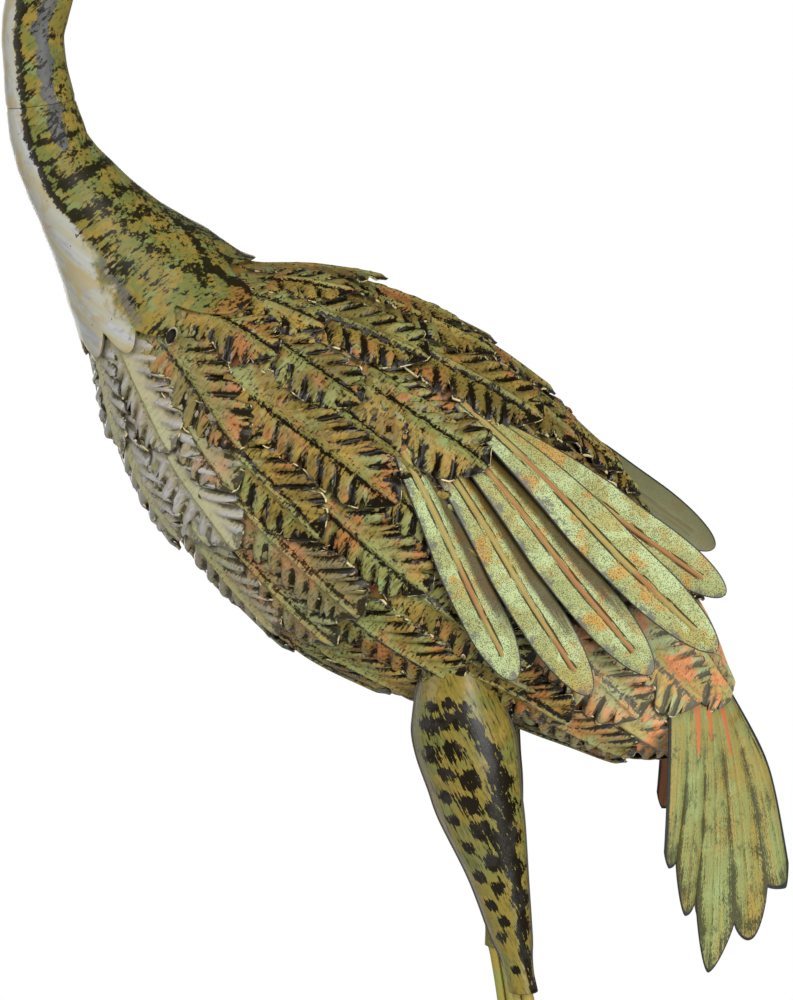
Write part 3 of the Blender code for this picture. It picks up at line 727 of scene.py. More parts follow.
def neck_paint():
    """Pale throat, black dashed line, sage and ochre blotches with ink, a gold side flap."""
    p = Paint("neck_paint")
    sheet = p.value("leaf", "Vector")
    wobble = p.noise(p.place, 70, 4, 0.65)

    # The throat's pale paint, kept until the green of the back is laid
    folds = p.drawn(sheet, 0.08, 0.11, 2, 0.4)
    p.ground(folds, 0.36, 0.52, (156, 148, 116), (156, 156, 142))
    p.layer(folds, 0.52, 0.70, 1, (164, 164, 168))
    p.layer(p.drawn(sheet, 0.5, 0.16, 4, 0.7), 0.50, 0.64, 0.75, (140, 138, 144))
    p.layer(p.noise(p.place, 64, 3), 0.5, 0.62, 0.6, (154, 136, 92))
    front = p.colour

    p.ground(p.noise(p.place, 58, 3, 0.5), 0.44, 0.56, (114, 104, 46), (100, 104, 52))
    warm = p.noise(p.stretched(p.place, (1.2, 1.0, 1.4)), 72, 3)
    p.layer(warm, 0.50, 0.60, 0.85, (132, 112, 48))
    p.layer(p.noise(p.place, 88, 2), 0.56, 0.66, 0.7, (112, 124, 78))
    # Painted sheen: grey patches on the side of the upper neck
    p.layer(p.ragged(p.value("satin"), wobble, 2.6), 0.50, 0.60, 0.9, (76, 77, 80))
    p.layer(p.ragged(p.value("gold"), wobble, 1.6), 0.3, 0.9, 0.85, (136, 94, 44))

    # The border of the throat is soft and ragged near the hem, and sharp above
    soft = p.value("soft")
    line = p.ragged(p.value("line"), wobble, p.total((soft, 34.0), less=-10.0))
    throat = p.step(line, 0.5, p.total((soft, -7.0), less=1.5))
    p.cover(throat, front)
    # A soft grey band along the throat line on the collar
    p.layer(p.ragged(p.value("throat_grey"), wobble, 2.4), 0.35, 0.8, 0.7, (84, 84, 88))
    speck = p.noise(p.place, 620, 4, 0.75)
    hatch = p.bristles(560, -0.75, 5.0)
    p.layer(hatch, 0.48, 0.64, p.times(p.rest(throat), 0.5), (58, 50, 22))
    blotch = p.noise(p.stretched(p.place, (1.0, 1.0, 1.15)), 92, 4, 0.62, 0.3)
    stroke = p.total((p.value("stroke"), 1), (blotch, 1.7), (speck, 0.5), (hatch, 1.6), less=1.90)
    p.layer(stroke, 0.40, 0.56, 0.96, INK)
    p.layer(p.value("inside"), 0.4, 0.6, 1, BROWN)
    p.layer(p.value("rim"), 0.75, 0.95, 1, (44, 42, 34))
    return p.finish(p.total((speck, 0.18), less=-0.30), p.total((hatch, 1), (speck, 0.4)), 0.0002)


def thigh_paint():
    """Glossy olive-yellow with ink spots and brushed grain, and a painted grey highlight down the front
    edge and in patches.
    """
    p = Paint("thigh_paint")
    p.ground(p.noise(p.place, 40, 3), 0.42, 0.60, (120, 106, 44), (104, 106, 54))
    p.layer(p.noise(p.place, 75, 3), 0.55, 0.66, 0.5, OCHRE)
    streak = p.bristles(700, 1.1, 8.0)
    p.layer(streak, 0.46, 0.62, 0.55, (50, 44, 18))
    speck = p.noise(p.place, 420, 4, 0.7)
    stroke = p.ragged(p.value("stroke"), p.total((streak, 0.75), (speck, 0.25)), 4.4)
    p.layer(p.ragged(stroke, p.noise(p.place, 110, 3), 1.0), 0.46, 0.58, 1, INK)
    # Painted highlight: grey sheen down the front edge (pale) and in soft patches
    satin = p.step(p.noise(p.place, 70, 3), 0.50, 0.64)
    p.cover(p.total((p.value("pale"), 0.6), (satin, 0.048)), (134, 130, 130))
    p.layer(p.value("rim"), 0.6, 0.9, 1, (70, 66, 56))
    return p.finish(p.total((speck, 0.15), less=-0.2), streak, 0.0002, coat=0.06)


def plain_paint(name, first, second, dark, roughness, scale=60):
    """Two worn tones with darker speckles."""
    p = Paint(name)
    p.ground(p.noise(p.place, scale), 0.42, 0.6, first, second)
    speck = p.noise(p.place, 380, 5, 0.75)
    p.layer(speck, 0.58, 0.68, 0.7, dark)
    return p.finish(p.total((speck, 0.2), less=0.1 - roughness), speck, 0.0002)


PAINTS = {paint.__name__: paint()
          for paint in (feather_paint, wing_paint, tail_paint, neck_paint, thigh_paint)}
for row in (("rod_paint", (146, 128, 58), (132, 134, 66), BROWN, 0.32),
            ("body_paint", RUST, (122, 104, 50), (60, 44, 30), 0.5, 45),
            ("beak_paint", (176, 142, 66), (150, 130, 62), INK, 0.34),
            ("dark_paint", (52, 52, 48), (72, 70, 60), INK, 0.45),
            ("eye_gloss", (14, 14, 14), (20, 20, 20), INK, 0.16)):
    PAINTS[row[0]] = plain_paint(*row)


# Feathers

def leaf_outline(share):
    """Half width of a stamped feather as a share of its widest: narrow root, angular tip."""
    root = 0.55 + 0.45 * ramp(-0.1, 0.32, share)
    tip = np.interp(share, (0.0, 0.80, 0.90, 1.0), (1.0, 1.0, 0.78, 0.10))
    return root * tip


def make_feather(name, row, side, stands_for=()):
    """A stamped feather: lobed edges cut between slanted pleats, and a raised middle rib."""
    _, root_s, root_a, tip_s, tip_a, width, tip_layers = row
    width = width * FEATHER_SPREAD
    pale, warm = feather_tones(row)
    rng = np.random.default_rng(sum(ord(c) for c in name) * 7 + 3)
    root = on_body(root_s, root_a, 0.0)
    tip = on_body(tip_s, tip_a, 0.0)
    length = np.linalg.norm(tip - root)
    along = (tip - root) / length
    cols = np.array([-c for c in LEAF_COLUMNS[:0:-1]] + list(LEAF_COLUMNS))

    # Notches of the left and right edge: place, depth and half the gap
    cuts = []
    for _ in range(2):
        place = (np.linspace(0.14, 0.80, LOBES) + rng.uniform(-0.03, 0.03, LOBES)) * length
        cuts.append((place, rng.uniform(0.18, 0.42, LOBES), rng.uniform(1.3, 2.7, LOBES)))
    rows = [np.linspace(-0.25 * PLEAT_SLANT * width, length, LEAF_ROWS)]
    for place, _, gap in cuts:
        rows += [place - gap, place, place + gap]
    start = np.sort(np.concatenate(rows))[:, None]
    shape = (start.size, cols.size)

    # Half width along each slanted row, found by walking out to the outline
    reach = np.zeros((start.size, 2))
    for _ in range(8):
        share = (start + PLEAT_SLANT * reach) / length
        reach = 0.5 * (reach + 0.5 * width * leaf_outline(share))
    for flank_index, (places, depths, gaps) in enumerate(cuts):
        for place, deep, gap in zip(places, depths, gaps):
            nearness = np.clip(1 - np.abs(start[:, 0] - place) / gap, 0, 1)
            reach[:, flank_index] *= 1 - deep * nearness
            reach[:, flank_index] *= 1 - SCALLOP * np.exp(-np.abs(start[:, 0] - place) / 3.0)

    flank = (cols > 0).astype(int)
    half = reach[:, flank]
    y = cols[None, :] * half
    x = np.minimum(start + PLEAT_SLANT * np.abs(y), length)
    share = x / length
    out = np.abs(y) / (0.5 * width)

    # Relief: pleats, middle rib, edges turned down, lobes bent by hand
    phase = start / PLEAT_PITCH + rng.uniform(0, 1)
    crest = waves(phase, 1)
    valley = (1 - crest) ** 1.8
    pleat = (phase[:, 0] + 2).astype(int)
    strength = rng.uniform(0.45, 1.2, (40, 2))[pleat][:, flank]
    begin = rng.uniform(0.04, 0.40, (40, 2))[pleat][:, flank]
    full = ramp(0.08, 0.45, share) * ramp(1.02, 0.86, share)
    depth = PLEAT_HEIGHT * min(1.0, 0.3 + 0.3 * tip_layers)
    soft = (crest - 0.5) * 0.9 * pale + (0.32 - valley) * (1 - pale)
    relief = depth * (1 + 0.4 * pale) * soft * ramp(0.06, 0.42, out) * (0.12 + 0.88 * full)
    rib_half = RIB_HALF * (1.15 - 0.45 * share)
    rib = bell(y, rib_half) * ramp(1.0, 0.93, share)
    relief = relief + RIB_HEIGHT * rib * (0.35 + 0.65 * ramp(0.0, 0.3, share))
    edge = np.abs(cols)[None, :] + 0 * start
    relief = relief - EDGE_DROP * ramp(0.72, 1.0, edge) ** 1.5 * (0.3 + 0.7 * full)
    lobe = np.zeros(shape)
    for flank_index, (places, _, _) in enumerate(cuts):
        bend = rng.uniform(-1.2, 2.2, LOBES + 1) * (1 + 0.5 * pale) + 1.2 * pale
        index = np.searchsorted(places, start[:, 0])
        lobe += (flank == flank_index)[None, :] * bend[index][:, None]
    relief = relief + lobe * ramp(0.45, 1.0, edge) * full * 0.9
    wave = 0.5 * np.sin(share * 7 + rng.uniform(0, 6)) * ramp(0.2, 1.0, share)
    roll = rng.uniform(-0.06, 0.06) * y * np.clip(share, 0, 1)
    rise = np.clip(share, 0, 1)
    lift = ROOT_LIFT + tip_layers * LAYER * rise ** 1.2 + TIP_RISE * rise ** 3 + rng.uniform(0, 0.5)
    lift = lift + relief + wave + roll

    # Lay it on the body
    place = root_s + (tip_s - root_s) * share
    angle = root_a + (tip_a - root_a) * share
    around = (on_body(place, angle + 1, 0.0) - on_body(place, angle - 1, 0.0)) / 2
    forward = (on_body(place + 0.05, angle, 0.0) - on_body(place - 0.05, angle, 0.0)) / 0.1
    normal = unit(np.cross(around, forward))
    across = unit(np.cross(normal, along))
    offset = across * y[..., None]
    turn = dot(offset, around) / dot(around, around)
    shift = dot(offset, forward) / dot(forward, forward)
    grids = [on_body(place + shift[..., 0], angle + turn[..., 0], lift + up, side)
             for up in (FEATHER_SHEET * 0.9, 0.0)]

    # Paint: ink in the valleys, beside the rib and round the tip
    darker_side = np.sign(rng.uniform(-1, 1))
    inked = ramp(begin, begin + 0.3, out) * ramp(0.12, 0.42, share)
    stroke = 0.22 + 1.00 * (1 - crest) ** INK_NARROW * inked * strength
    # Painted sheen: a narrow band just past each valley, in the outer half
    satin = waves(phase - 0.70, 1) ** 9 * ramp(0.45, 0.75, out) * ramp(0.5, 1.0, strength) * full
    near_tip = ramp(0.86, 0.95, share) * ramp(0.15, 0.6, edge)
    beside = bell(np.abs(y) - 2.6, 1.7) * (0.56 + 0.30 * np.sign(y) * darker_side) * (1 - 0.45 * pale)
    for amount in (0.95 * near_tip, beside * ramp(0.0, 0.2, share), 0.36 * rib,
                   0.70 * ramp(0.86, 0.96, edge)):
        stroke = np.maximum(stroke, amount)
    seed = rng.uniform(-0.5, 0.5, 3)
    values = {
        "leaf": vectors(np.abs(y), start, seed[0] * 50 + np.sign(y) * 9),
        "shift": seed * 0.6,
        "rib": rib,
        "stroke": stroke,
        "rim": np.maximum(edge > 0.99, share > 0.995),
        "pale": pale,
        "warm": warm * (0.65 + 0.35 * rib),
        # crest: where the painted sheen of the pale feathers goes
        "crest": crest * ramp(0.05, 0.4, out),
        # low: painted shade in the pleat valleys
        "low": (1 - crest) ** 1.3 * ramp(0.1, 0.5, out) * full,
        "satin": satin,
        "spine": bell(y, 5.0),
    }
    outline = ((edge > 0.99) | (share > 0.97)) & (share > 0.15)
    return {"name": name, "grids": grids, "values": values, "stands_for": stands_for,
            "height": lift.ravel(), "outline": np.flatnonzero(outline.ravel())[::2]}


def shade_under(leaves):
    """Painted shadow: dark paint on the feathers just outside the edges of the ones that lie over them.
    """
    for leaf in leaves:
        points = leaf["grids"][0].reshape(-1, 3).astype(np.float32)
        centre = points.mean(0)
        reach = np.linalg.norm(points - centre, axis=1).max() + UNDER_REACH
        shade = np.zeros(len(points), np.float32)
        for other in leaves:
            border = other["grids"][1].reshape(-1, 3)[other["outline"]].astype(np.float32)
            if other is leaf or np.linalg.norm(border - centre, axis=1).min() > reach:
                continue
            squares = dot(points, points) + dot(border, border).T - 2 * points @ border.T
            nearest = squares.argmin(1)
            distance = np.sqrt(np.clip(squares[np.arange(len(points)), nearest], 0, None))
            above = other["height"][other["outline"]][nearest] - leaf["height"]
            cast = ramp(UNDER_REACH, 0.8, distance) * ramp(0.0, 1.2, above)
            shade = np.maximum(shade, cast)
        leaf["values"]["under"] = shade.reshape(leaf["grids"][0].shape[:2])


def feather_tones(row):
    """How pale (chest and throat side) and how warm (rump) a feather's paint is."""
    _, root_s, root_a, tip_s, tip_a, _, _ = row
    station = (root_s + tip_s) / 2
    angle = (root_a + tip_a) / 2
    pale = ramp(106, 128, angle) * ramp(16.6, 14.4, station)
    pale = max(pale, 0.8 * ramp(98, 108, angle) * ramp(14.4, 13.2, station))
    warm = ramp(18.7, 19.8, station) * ramp(150, 105, angle)
    return pale, warm


def make_feathers():
    leaves = []
    for side_name, side in SIDES:
        for row in COVERTS + EXTRA_FEATHERS:
            node = (f"{side_name}_covert_{row[0]}",) if row in COVERTS else ()
            leaves.append(make_feather(f"{side_name}_feather_{row[0]}", row, side, node))
    for row in MIDDLE_FEATHERS:
        leaves.append(make_feather(f"feather_{row[0]}", row, -1))
    shade_under(leaves)
    for leaf in leaves:
        add_sheet(leaf["name"], *leaf["grids"], "feather_paint", leaf["stands_for"], leaf["values"])


# Wings

def primary_half_width(share, width):
    """Half width of a wing feather: it widens from the root and ends in a half circle."""
    root = PRIMARY_ROOT_WIDTH + (1 - PRIMARY_ROOT_WIDTH) * np.minimum(1.0, share / 0.5) ** 0.8
    tip = np.sqrt(np.clip(1 - np.clip((share - 0.72) / 0.2801, 0, None) ** 2, 0, None))
    return 0.5 * width * root * tip


def make_primary(name, row, side, stands_for):
    """A long wing feather with a raised rib, dark cut edges and a rounded tip."""
    root_s, root_a, root_layers, tip_x, tip_y, tip_z, tip_layers, width = row
    rng = np.random.default_rng(sum(ord(c) for c in name))
    shade = float(tip_layers < 6 and root_layers > 0.3)
    root = on_body(root_s, root_a, ROOT_LIFT + root_layers * LAYER, 1)
    tip = np.array((tip_x, tip_y + tip_layers * LAYER, tip_z), float)
    length = np.linalg.norm(tip - root)
    along = (tip - root) / length
    away = unit(on_body(root_s, root_a, 30.0, 1) - on_body(root_s, root_a, 0.0, 1))
    t = np.linspace(0, 1, WING_GRID[0])
    share = (1 - (1 - t) ** 1.35)[:, None]
    cols = np.linspace(-1, 1, WING_GRID[1])[None, :]
    blend = np.minimum(1.0, 1.6 * share)[..., None]
    outward = away * (1 - blend) + np.array((0, 1, 0.1)) * blend
    outward = unit(outward - along * dot(outward, along))
    across = np.cross(along, outward)
    half = primary_half_width(share, width)
    y = cols * half
    bow = PRIMARY_BOW * np.sin(math.pi * share) ** 1.6
    rib_end = ramp(1.0, 0.985, share + 14 / length)
    rib_half = 1.7 - 0.5 * share
    rib = np.sqrt(np.clip(1 - (y / rib_half) ** 2, 0, 1)) * rib_end
    camber = -1.2 * cols ** 2 * np.minimum(1, half / 8)
    camber = camber - 0.22 * np.clip(y - rib_half, 0, None) * ramp(1.0, 0.7, share) * shade
    groove = 0.25 * bell(np.abs(y) - rib_half - 0.5, 0.5) * rib_end
    relief = WING_RIB_HEIGHT * rib + camber - groove
    relief = relief + 0.25 * np.sin(share * 9 + rng.uniform(0, 6)) * cols
    middle = root + (tip - root) * share[..., None] + outward * bow[..., None]
    grids = []
    for rise in (relief + FEATHER_SHEET + WING_CLEARANCE,
                 relief + WING_CLEARANCE - WING_RIB_HEIGHT * rib):
        spot = middle + across * y[..., None] + outward * rise[..., None]
        grids.append(spot * np.array((1, side, 1)))
    seed = rng.uniform(-0.5, 0.5, 3)
    near_edge = half - np.abs(y)
    from_tip = (1 - share) * length
    worn_edge = 0.62 * ramp(8.0, 0.5, near_edge) * (y < 0)
    values = {
        "leaf": vectors(share * length, y, seed[0] * 60),
        "shift": seed,
        "rib": rib,
        "line": bell(np.abs(y) - rib_half - 0.45, 0.45) * rib_end,
        "rim": np.clip(1 - np.minimum(near_edge, from_tip + 0.6 * np.abs(y)) / 1.6, 0, 1),
        "worn": np.maximum(worn_edge, 0.80 * ramp(11.0, 0.5, from_tip)),
        "shade": ramp(1.5, 8.0, y) * ramp(1.0, 0.55, share) * shade,
    }
    add_sheet(name, *grids, "wing_paint", stands_for, values)


# Tail

def tail_edge(part):
    """Lower edge of the fan at shares across, from the rear ridge forward."""
    count = len(TAIL_FINGERS)
    tips = np.array(TAIL_FINGERS, float)
    notches = np.array(TAIL_NOTCHES, float)
    first = tips[0] + (3, -3, 14)
    last = tips[-1] + (-2, 3, 10)
    bounds = np.vstack([first, notches, last])
    place = np.clip(part * count, 0, count - 1e-6)
    index = place.astype(int)
    inside = (place - index) * 2 - 1
    end = np.where((inside < 0)[..., None], bounds[index], bounds[index + 1])
    t = np.abs(inside)
    spot = tips[index] + (end - tips[index]) * t[..., None]
    wide, steep = TAIL_TIP_POWERS
    round_share = 1 - (1 - t ** wide) ** steep
    wide, steep = TAIL_MIDDLE_POWERS
    slanted = 1 - (1 - t ** wide) ** steep
    round_share = np.where((index == count // 2) & (inside < 0), slanted, round_share)
    spot[..., 2] = tips[index][..., 2] + (end - tips[index])[..., 2] * round_share
    return spot, inside


def make_tail(name, side, stands_for):
    """A fluted fan: its top edge lies on the rump, and it ends in five rounded fingers."""
    part = np.linspace(0, 1, TAIL_GRID[1])[None, :]
    share = np.linspace(0, 1, TAIL_GRID[0])[:, None]
    spot, inside = tail_edge(part[0])
    station = TAIL_TOP_REAR[0] + (TAIL_TOP_FRONT[0] - TAIL_TOP_REAR[0]) * part[0]
    angle = TAIL_TOP_REAR[1] + (TAIL_TOP_FRONT[1] - TAIL_TOP_REAR[1]) * part[0]
    start = on_body(station, angle, ROOT_LIFT + GAP, 1)
    rear_kink, front_kink = np.array(TAIL_REAR_KINK), np.array(TAIL_FRONT_KINK)
    middle = rear_kink + (front_kink - rear_kink) * part[0][:, None]
    s = share[..., None]
    weight = (1 + (TAIL_KINK_WEIGHT - 1) * ramp(0.30, 0.0, part[0]))[:, None]
    total = (1 - s) ** 2 + 2 * weight * s * (1 - s) + s ** 2
    curve = (start * (1 - s) ** 2 + 2 * weight * middle * s * (1 - s) + spot * s ** 2) / total
    crest = np.cos(inside * math.pi / 2) ** 0.8
    crease = bell(inside, 0.10)
    relief = (TAIL_FLUTE * (crest - 0.2) - 0.5 * crease) * np.minimum(1, 2 * share)
    outward = unit(np.array(TAIL_OUTWARD))
    grids = [(curve + outward * (relief + height)[..., None]) * np.array((1, side, 1))
             for height in (FEATHER_SHEET, 0.0)]

    # Paint: streaks in the valleys, at the tips and near the ridge, and drips down from the rump
    from_tip = curve[..., 2] - spot[:, 2]
    along = share * np.linalg.norm(start - spot, axis=-1)
    stroke = 0.36 + 0.34 * (1 - crest) ** 1.5 * ramp(0.1, 0.4, share)
    stroke = stroke + 0.22 * ramp(30, 0, from_tip) + 0.16 * crease
    stroke = stroke + 0.5 * bell(part - 0.055, 0.008) * ramp(0.55, 0.35, share)
    drips = np.zeros_like(stroke)
    for place, drop in TAIL_DRIPS:
        width = 0.042 * np.sqrt(np.clip(1.1 - along / drop, 0, 1))
        drips = np.maximum(drips, (np.abs(part - place) < width) * (along < drop))
    side_near = np.minimum(part, 1 - part) * 70
    values = {
        "leaf": vectors(along, part * 110, 0),
        "stroke": stroke,
        "rim": np.clip(1 - np.minimum(from_tip, side_near) / 3.6, 0, 1),
        "warm": drips,
    }
    add_sheet(name, *grids, "tail_paint", stands_for, values)


# Neck, collar and head

def neck_values(place, angle):
    """Numbers that place the throat line, the nape band and the grey patches of painted sheen."""
    place, angle = np.broadcast_arrays(place, angle)
    degree = row_values(TRUNK, place)[..., 4] * math.pi / 180
    girth = 1.1 * degree
    line = (line_value(THROAT_LINE, place) - angle) * girth
    nape = (angle - line_value(NAPE_BAND, place)) * girth
    behind = ramp(0.0, 2.0, line)

    # The dashed line along the throat, wider in its dashes, which fades near the hem
    width = 2.2 + 1.2 * waves(place, 0.62) * ramp(9, 6, place) - ramp(9.5, 10.5, place)
    middle = line - 1.6 * ramp(8.4, 7.4, place)
    fade = 1 - 0.8 * ramp(9.4, 10.2, place)
    stroke = 0.80 * bell(middle, 1.6 * width) * fade
    bars = waves(place - 8.25, 0.47) ** 3 * ramp(7.6, 8.1, place) * ramp(10.6, 9.6, place)
    low = ramp(9.4, 10.2, place) * ramp(11.9, 11.0, place)
    for amount in ((0.34 + 0.34 * bars * behind) * behind,
                   0.42 * behind * low,
                   0.80 * ramp(9.8, 10.5, place) * bell(nape - 1.5, 5.2),
                   0.5 * bell(angle - 12, 9) * ramp(9.6, 8.2, place),
                   0.48 * ramp(10.0, 10.6, place) * ramp(0, -4, nape)):
        stroke = np.maximum(stroke, amount)
    # A soft grey band along the throat line on the collar
    throat_grey = bell(line - 1.0, 5.0) * ramp(9.6, 10.3, place) * ramp(12.2, 11.4, place)
    return {
        "line": line,
        "stroke": stroke,
        # sheen: painted grey sheen on the side of the upper neck
        "satin": 0.80 * bell(angle - 66, 20) * ramp(8.9, 8.2, place),
        "gold": ramp(11.9, 12.7, place) * ramp(98, 70, angle),
        "leaf": vectors(place * 36.0, angle * degree, 0),
        "soft": ramp(9.6, 10.6, place),
        "throat_grey": 0.74 * throat_grey,
    }


def dents(place, angle):
    """Shallow hand-formed unevenness of a rolled sheet."""
    turn = np.radians(angle)
    slow = np.sin(place * 5.1 + 2 * np.cos(turn)) * np.cos(2 * turn + place)
    return 0.22 * slow + 0.12 * np.sin(place * 11 + 3 * np.sin(turn))


def seam_place(side):
    """Station of a sheet's end at the neck's seam, half a gap above it (-1) or below it (1)."""
    here, there = (section(TRUNK, NECK_SEAM + step, 90, side=0) for step in (-0.05, 0.05))
    return NECK_SEAM + side * 0.5 * GAP * 0.1 / np.linalg.norm(there - here)


def around_angles(count):
    """A row of angles round the trunk, from the crest over the left side, and their sides."""
    turn = np.linspace(0, 360, count, endpoint=False)[None, :]
    return np.where(turn <= 180, turn, 360 - turn), np.where(turn <= 180, -1, 1)


def make_upper_neck():
    rings, cols = UPPER_NECK_GRID
    angle, side = around_angles(cols)
    end = seam_place(-1)
    place = np.linspace(0, end, rings)[:, None]
    bevel = -0.5 * ramp(end - 0.02, end, place)
    grid = section(TRUNK, place, angle, dents(place, angle) * ramp(0, 0.5, place) + bevel, side)
    values = neck_values(place, angle)
    values["rim"] = 0.35 * ramp(end - 0.03, end, place)
    add_loft("upper_neck_sheet", grid, "neck_paint", ("upper_neck",), values)


def hem_station(angle):
    """Station of the hem at an angle: sharp notches between round lobes."""
    angles, stations = np.array(HEM, float).T
    index = np.clip(np.searchsorted(angles, angle, side="right") - 1, 0, len(HEM) - 2)
    t = (angle - angles[index]) / (angles[index + 1] - angles[index])
    low, high = stations[index], stations[index + 1]
    ease = np.where(high > low, np.sin(t * math.pi / 2), 1 - np.cos(t * math.pi / 2))
    return low + (high - low) * ease


def make_collar():
    """The lower neck with its lobed hem, open where the body's front end sits in it."""
    rings, cols = COLLAR_GRID
    angle, side = around_angles(cols)
    top = seam_place(1)
    hem = hem_station(angle)

    def sheet(place, lift):
        flare = COLLAR_FLARE * ramp(11.2, 12.6, place) ** 2
        curl = -HEM_CURL * ramp(0.06, 0.0, hem - place)
        return section(TRUNK, place, angle, dents(place, angle) + flare + curl + lift, side)

    place = top + (hem - top) * np.linspace(0, 1, rings)[:, None]
    outer = sheet(place, -0.5 * ramp(top + 0.02, top, place))
    socket = SOCKET_END + (hem - SOCKET_END) * np.linspace(1, 0, SOCKET_RINGS)[:, None]
    inner = sheet(socket, -SHEET - SOCKET_DEPTH * ramp(11.9, 11.2, socket))
    values = neck_values(place, angle)
    at_hem = ramp(0.045, 0.01, hem - place)
    values["rim"] = np.maximum(at_hem, 0.35 * ramp(top + 0.03, top, place))
    values["inside"] = np.zeros(place.shape)
    values = padded(values, len(inner), inside=1.0, line=20.0)
    add_loft("neck_collar_sheet", np.concatenate([outer, inner]), "neck_paint", ("neck_collar",), values)


def make_tab(name, side):
    """A little rolled tab of sheet at the hem, seen end on, dark inside."""
    centre = section(TRUNK, *TAB_PLACE, 0.0, side)
    turns = full_turn(28)
    ring = vectors(3.0 * np.cos(turns) + 1.4 * np.sin(turns), 0, 5.0 * np.sin(turns))
    rows = [centre + ring * size + (0, side * out, 0)
            for size, out in ((0.95, -0.6), (1.0, 2.4), (0.88, 2.9), (0.70, 2.5), (0.62, 0.6))]
    stroke = np.array((0.35, 0.30, 0.20, 1.6, 1.6))[:, None]
    add_loft(name, np.array(rows), "neck_paint", (), {"stroke": stroke, "line": -20.0, "gold": 0.2})


def make_head():
    """The skull and both halves of the beak."""
    for name, rows, paint, rings, cols in (("head", HEAD, "neck_paint", 70, 48),
                                           ("upper_beak", UPPER_BEAK, "beak_paint", 50, 32),
                                           ("lower_beak", LOWER_BEAK, "beak_paint", 50, 32)):
        angle, side = around_angles(cols)
        place = np.linspace(0, len(rows) - 1.001, rings)[:, None]
        values = {}
        if name == "head":
            crown = ramp(70, 40, angle) * ramp(0.5, 1.5, place)
            eye_line = bell(angle - 74, 14) * ramp(5.2, 3.6, place) * ramp(0.6, 1.8, place)
            values = neck_values(0 * place, angle)
            values["stroke"] = np.maximum(0.62 * crown, 0.55 * eye_line)
            values["line"] = (96 - angle) * 0.3
        add_loft(f"{name}_sheet", section(rows, place, angle, 0.0, side), paint, (name,), values)


def make_eye(name, side, stands_for):
    """A glossy domed bead."""
    turns = full_turn(32)
    height = np.linspace(0, math.pi / 2 * 0.97, 12)[:, None]
    radius = EYE_RADIUS * np.cos(height)
    y = side * (row_values(HEAD, EYE_STATION)[4] + GAP + EYE_HEIGHT * np.sin(height))
    grid = vectors(EYE_X + radius * np.cos(turns), y, EYE_Z + radius * np.sin(turns))
    add_loft(name, grid, "eye_gloss", stands_for)


def tube_grid(line, radii, sides):
    """Rings of a rod along a line of points."""
    along = unit(np.gradient(line, axis=0))
    across = np.zeros_like(line)
    guide = np.array((0.0, 1.0, 0.0))
    for index, direction in enumerate(along):
        guide = guide - direction * direction.dot(guide)
        guide = guide / np.linalg.norm(guide)
        across[index] = guide
    other = np.cross(along, across)
    turns = full_turn(sides)[:, None]
    ring = across[:, None] * np.cos(turns) + other[:, None] * np.sin(turns)
    return line[:, None] + ring * radii[:, None, None]


def make_crest(name, side, stands_for):
    """A tapered plume that starts on the crown and trails back."""
    share = np.linspace(0, 1, 40)
    crown = max(row[1] for row in HEAD)
    z = crown + PLUME_RADIUS + GAP + 5 * np.sin(math.pi * share) - 22 * share ** 2
    line = vectors(-194 + PLUME_LENGTH * share, side * (3.2 + 3 * share), z)
    radii = PLUME_RADIUS * (1 - 0.8 * share) * np.minimum(1, 0.4 + 12 * share)
    add_loft(name, tube_grid(line, radii, 14), "dark_paint", stands_for)


# Legs

def stride_shift(height, side):
    """How far forward the right leg stands at a height."""
    top = THIGH[0][0]
    low = SLEEVE_LINE[-1][0]
    share = np.clip((top - np.asarray(height, float)) / (top - low), 0, 1)
    return (-STRIDE * share ** STRIDE_CURVE) * (side > 0)


def sleeve_end(side):
    """Centre of the sleeve's open end, and the direction up the sleeve, in the leg's plane."""
    top, end = (np.array((x + stride_shift(z, side), 0, z)) for z, x in SLEEVE_LINE)
    return end, unit(top - end)


def thigh_stroke(height, across, half):
    """Ink spots and a ragged rear streak, at heights and shares across the thigh."""
    stroke = np.zeros(np.broadcast_shapes(height.shape, across.shape))
    for centre, place, radius in THIGH_SPOTS:
        distance = np.hypot(height - centre, 2 * half * (across - place)) / radius
        stroke = np.maximum(stroke, ramp(1.6, 0.5, distance))
    heights, places, widths = np.array(THIGH_STREAK)[::-1].T
    away = np.abs(across - np.interp(height, heights, places))
    reach = np.interp(height, heights, widths) * (0.9 + 0.30 * np.sin(height / 2.7))
    streak = ramp(1.5, 0.6, away / reach) * ramp(449, 444, height)
    return np.maximum(stroke, streak)


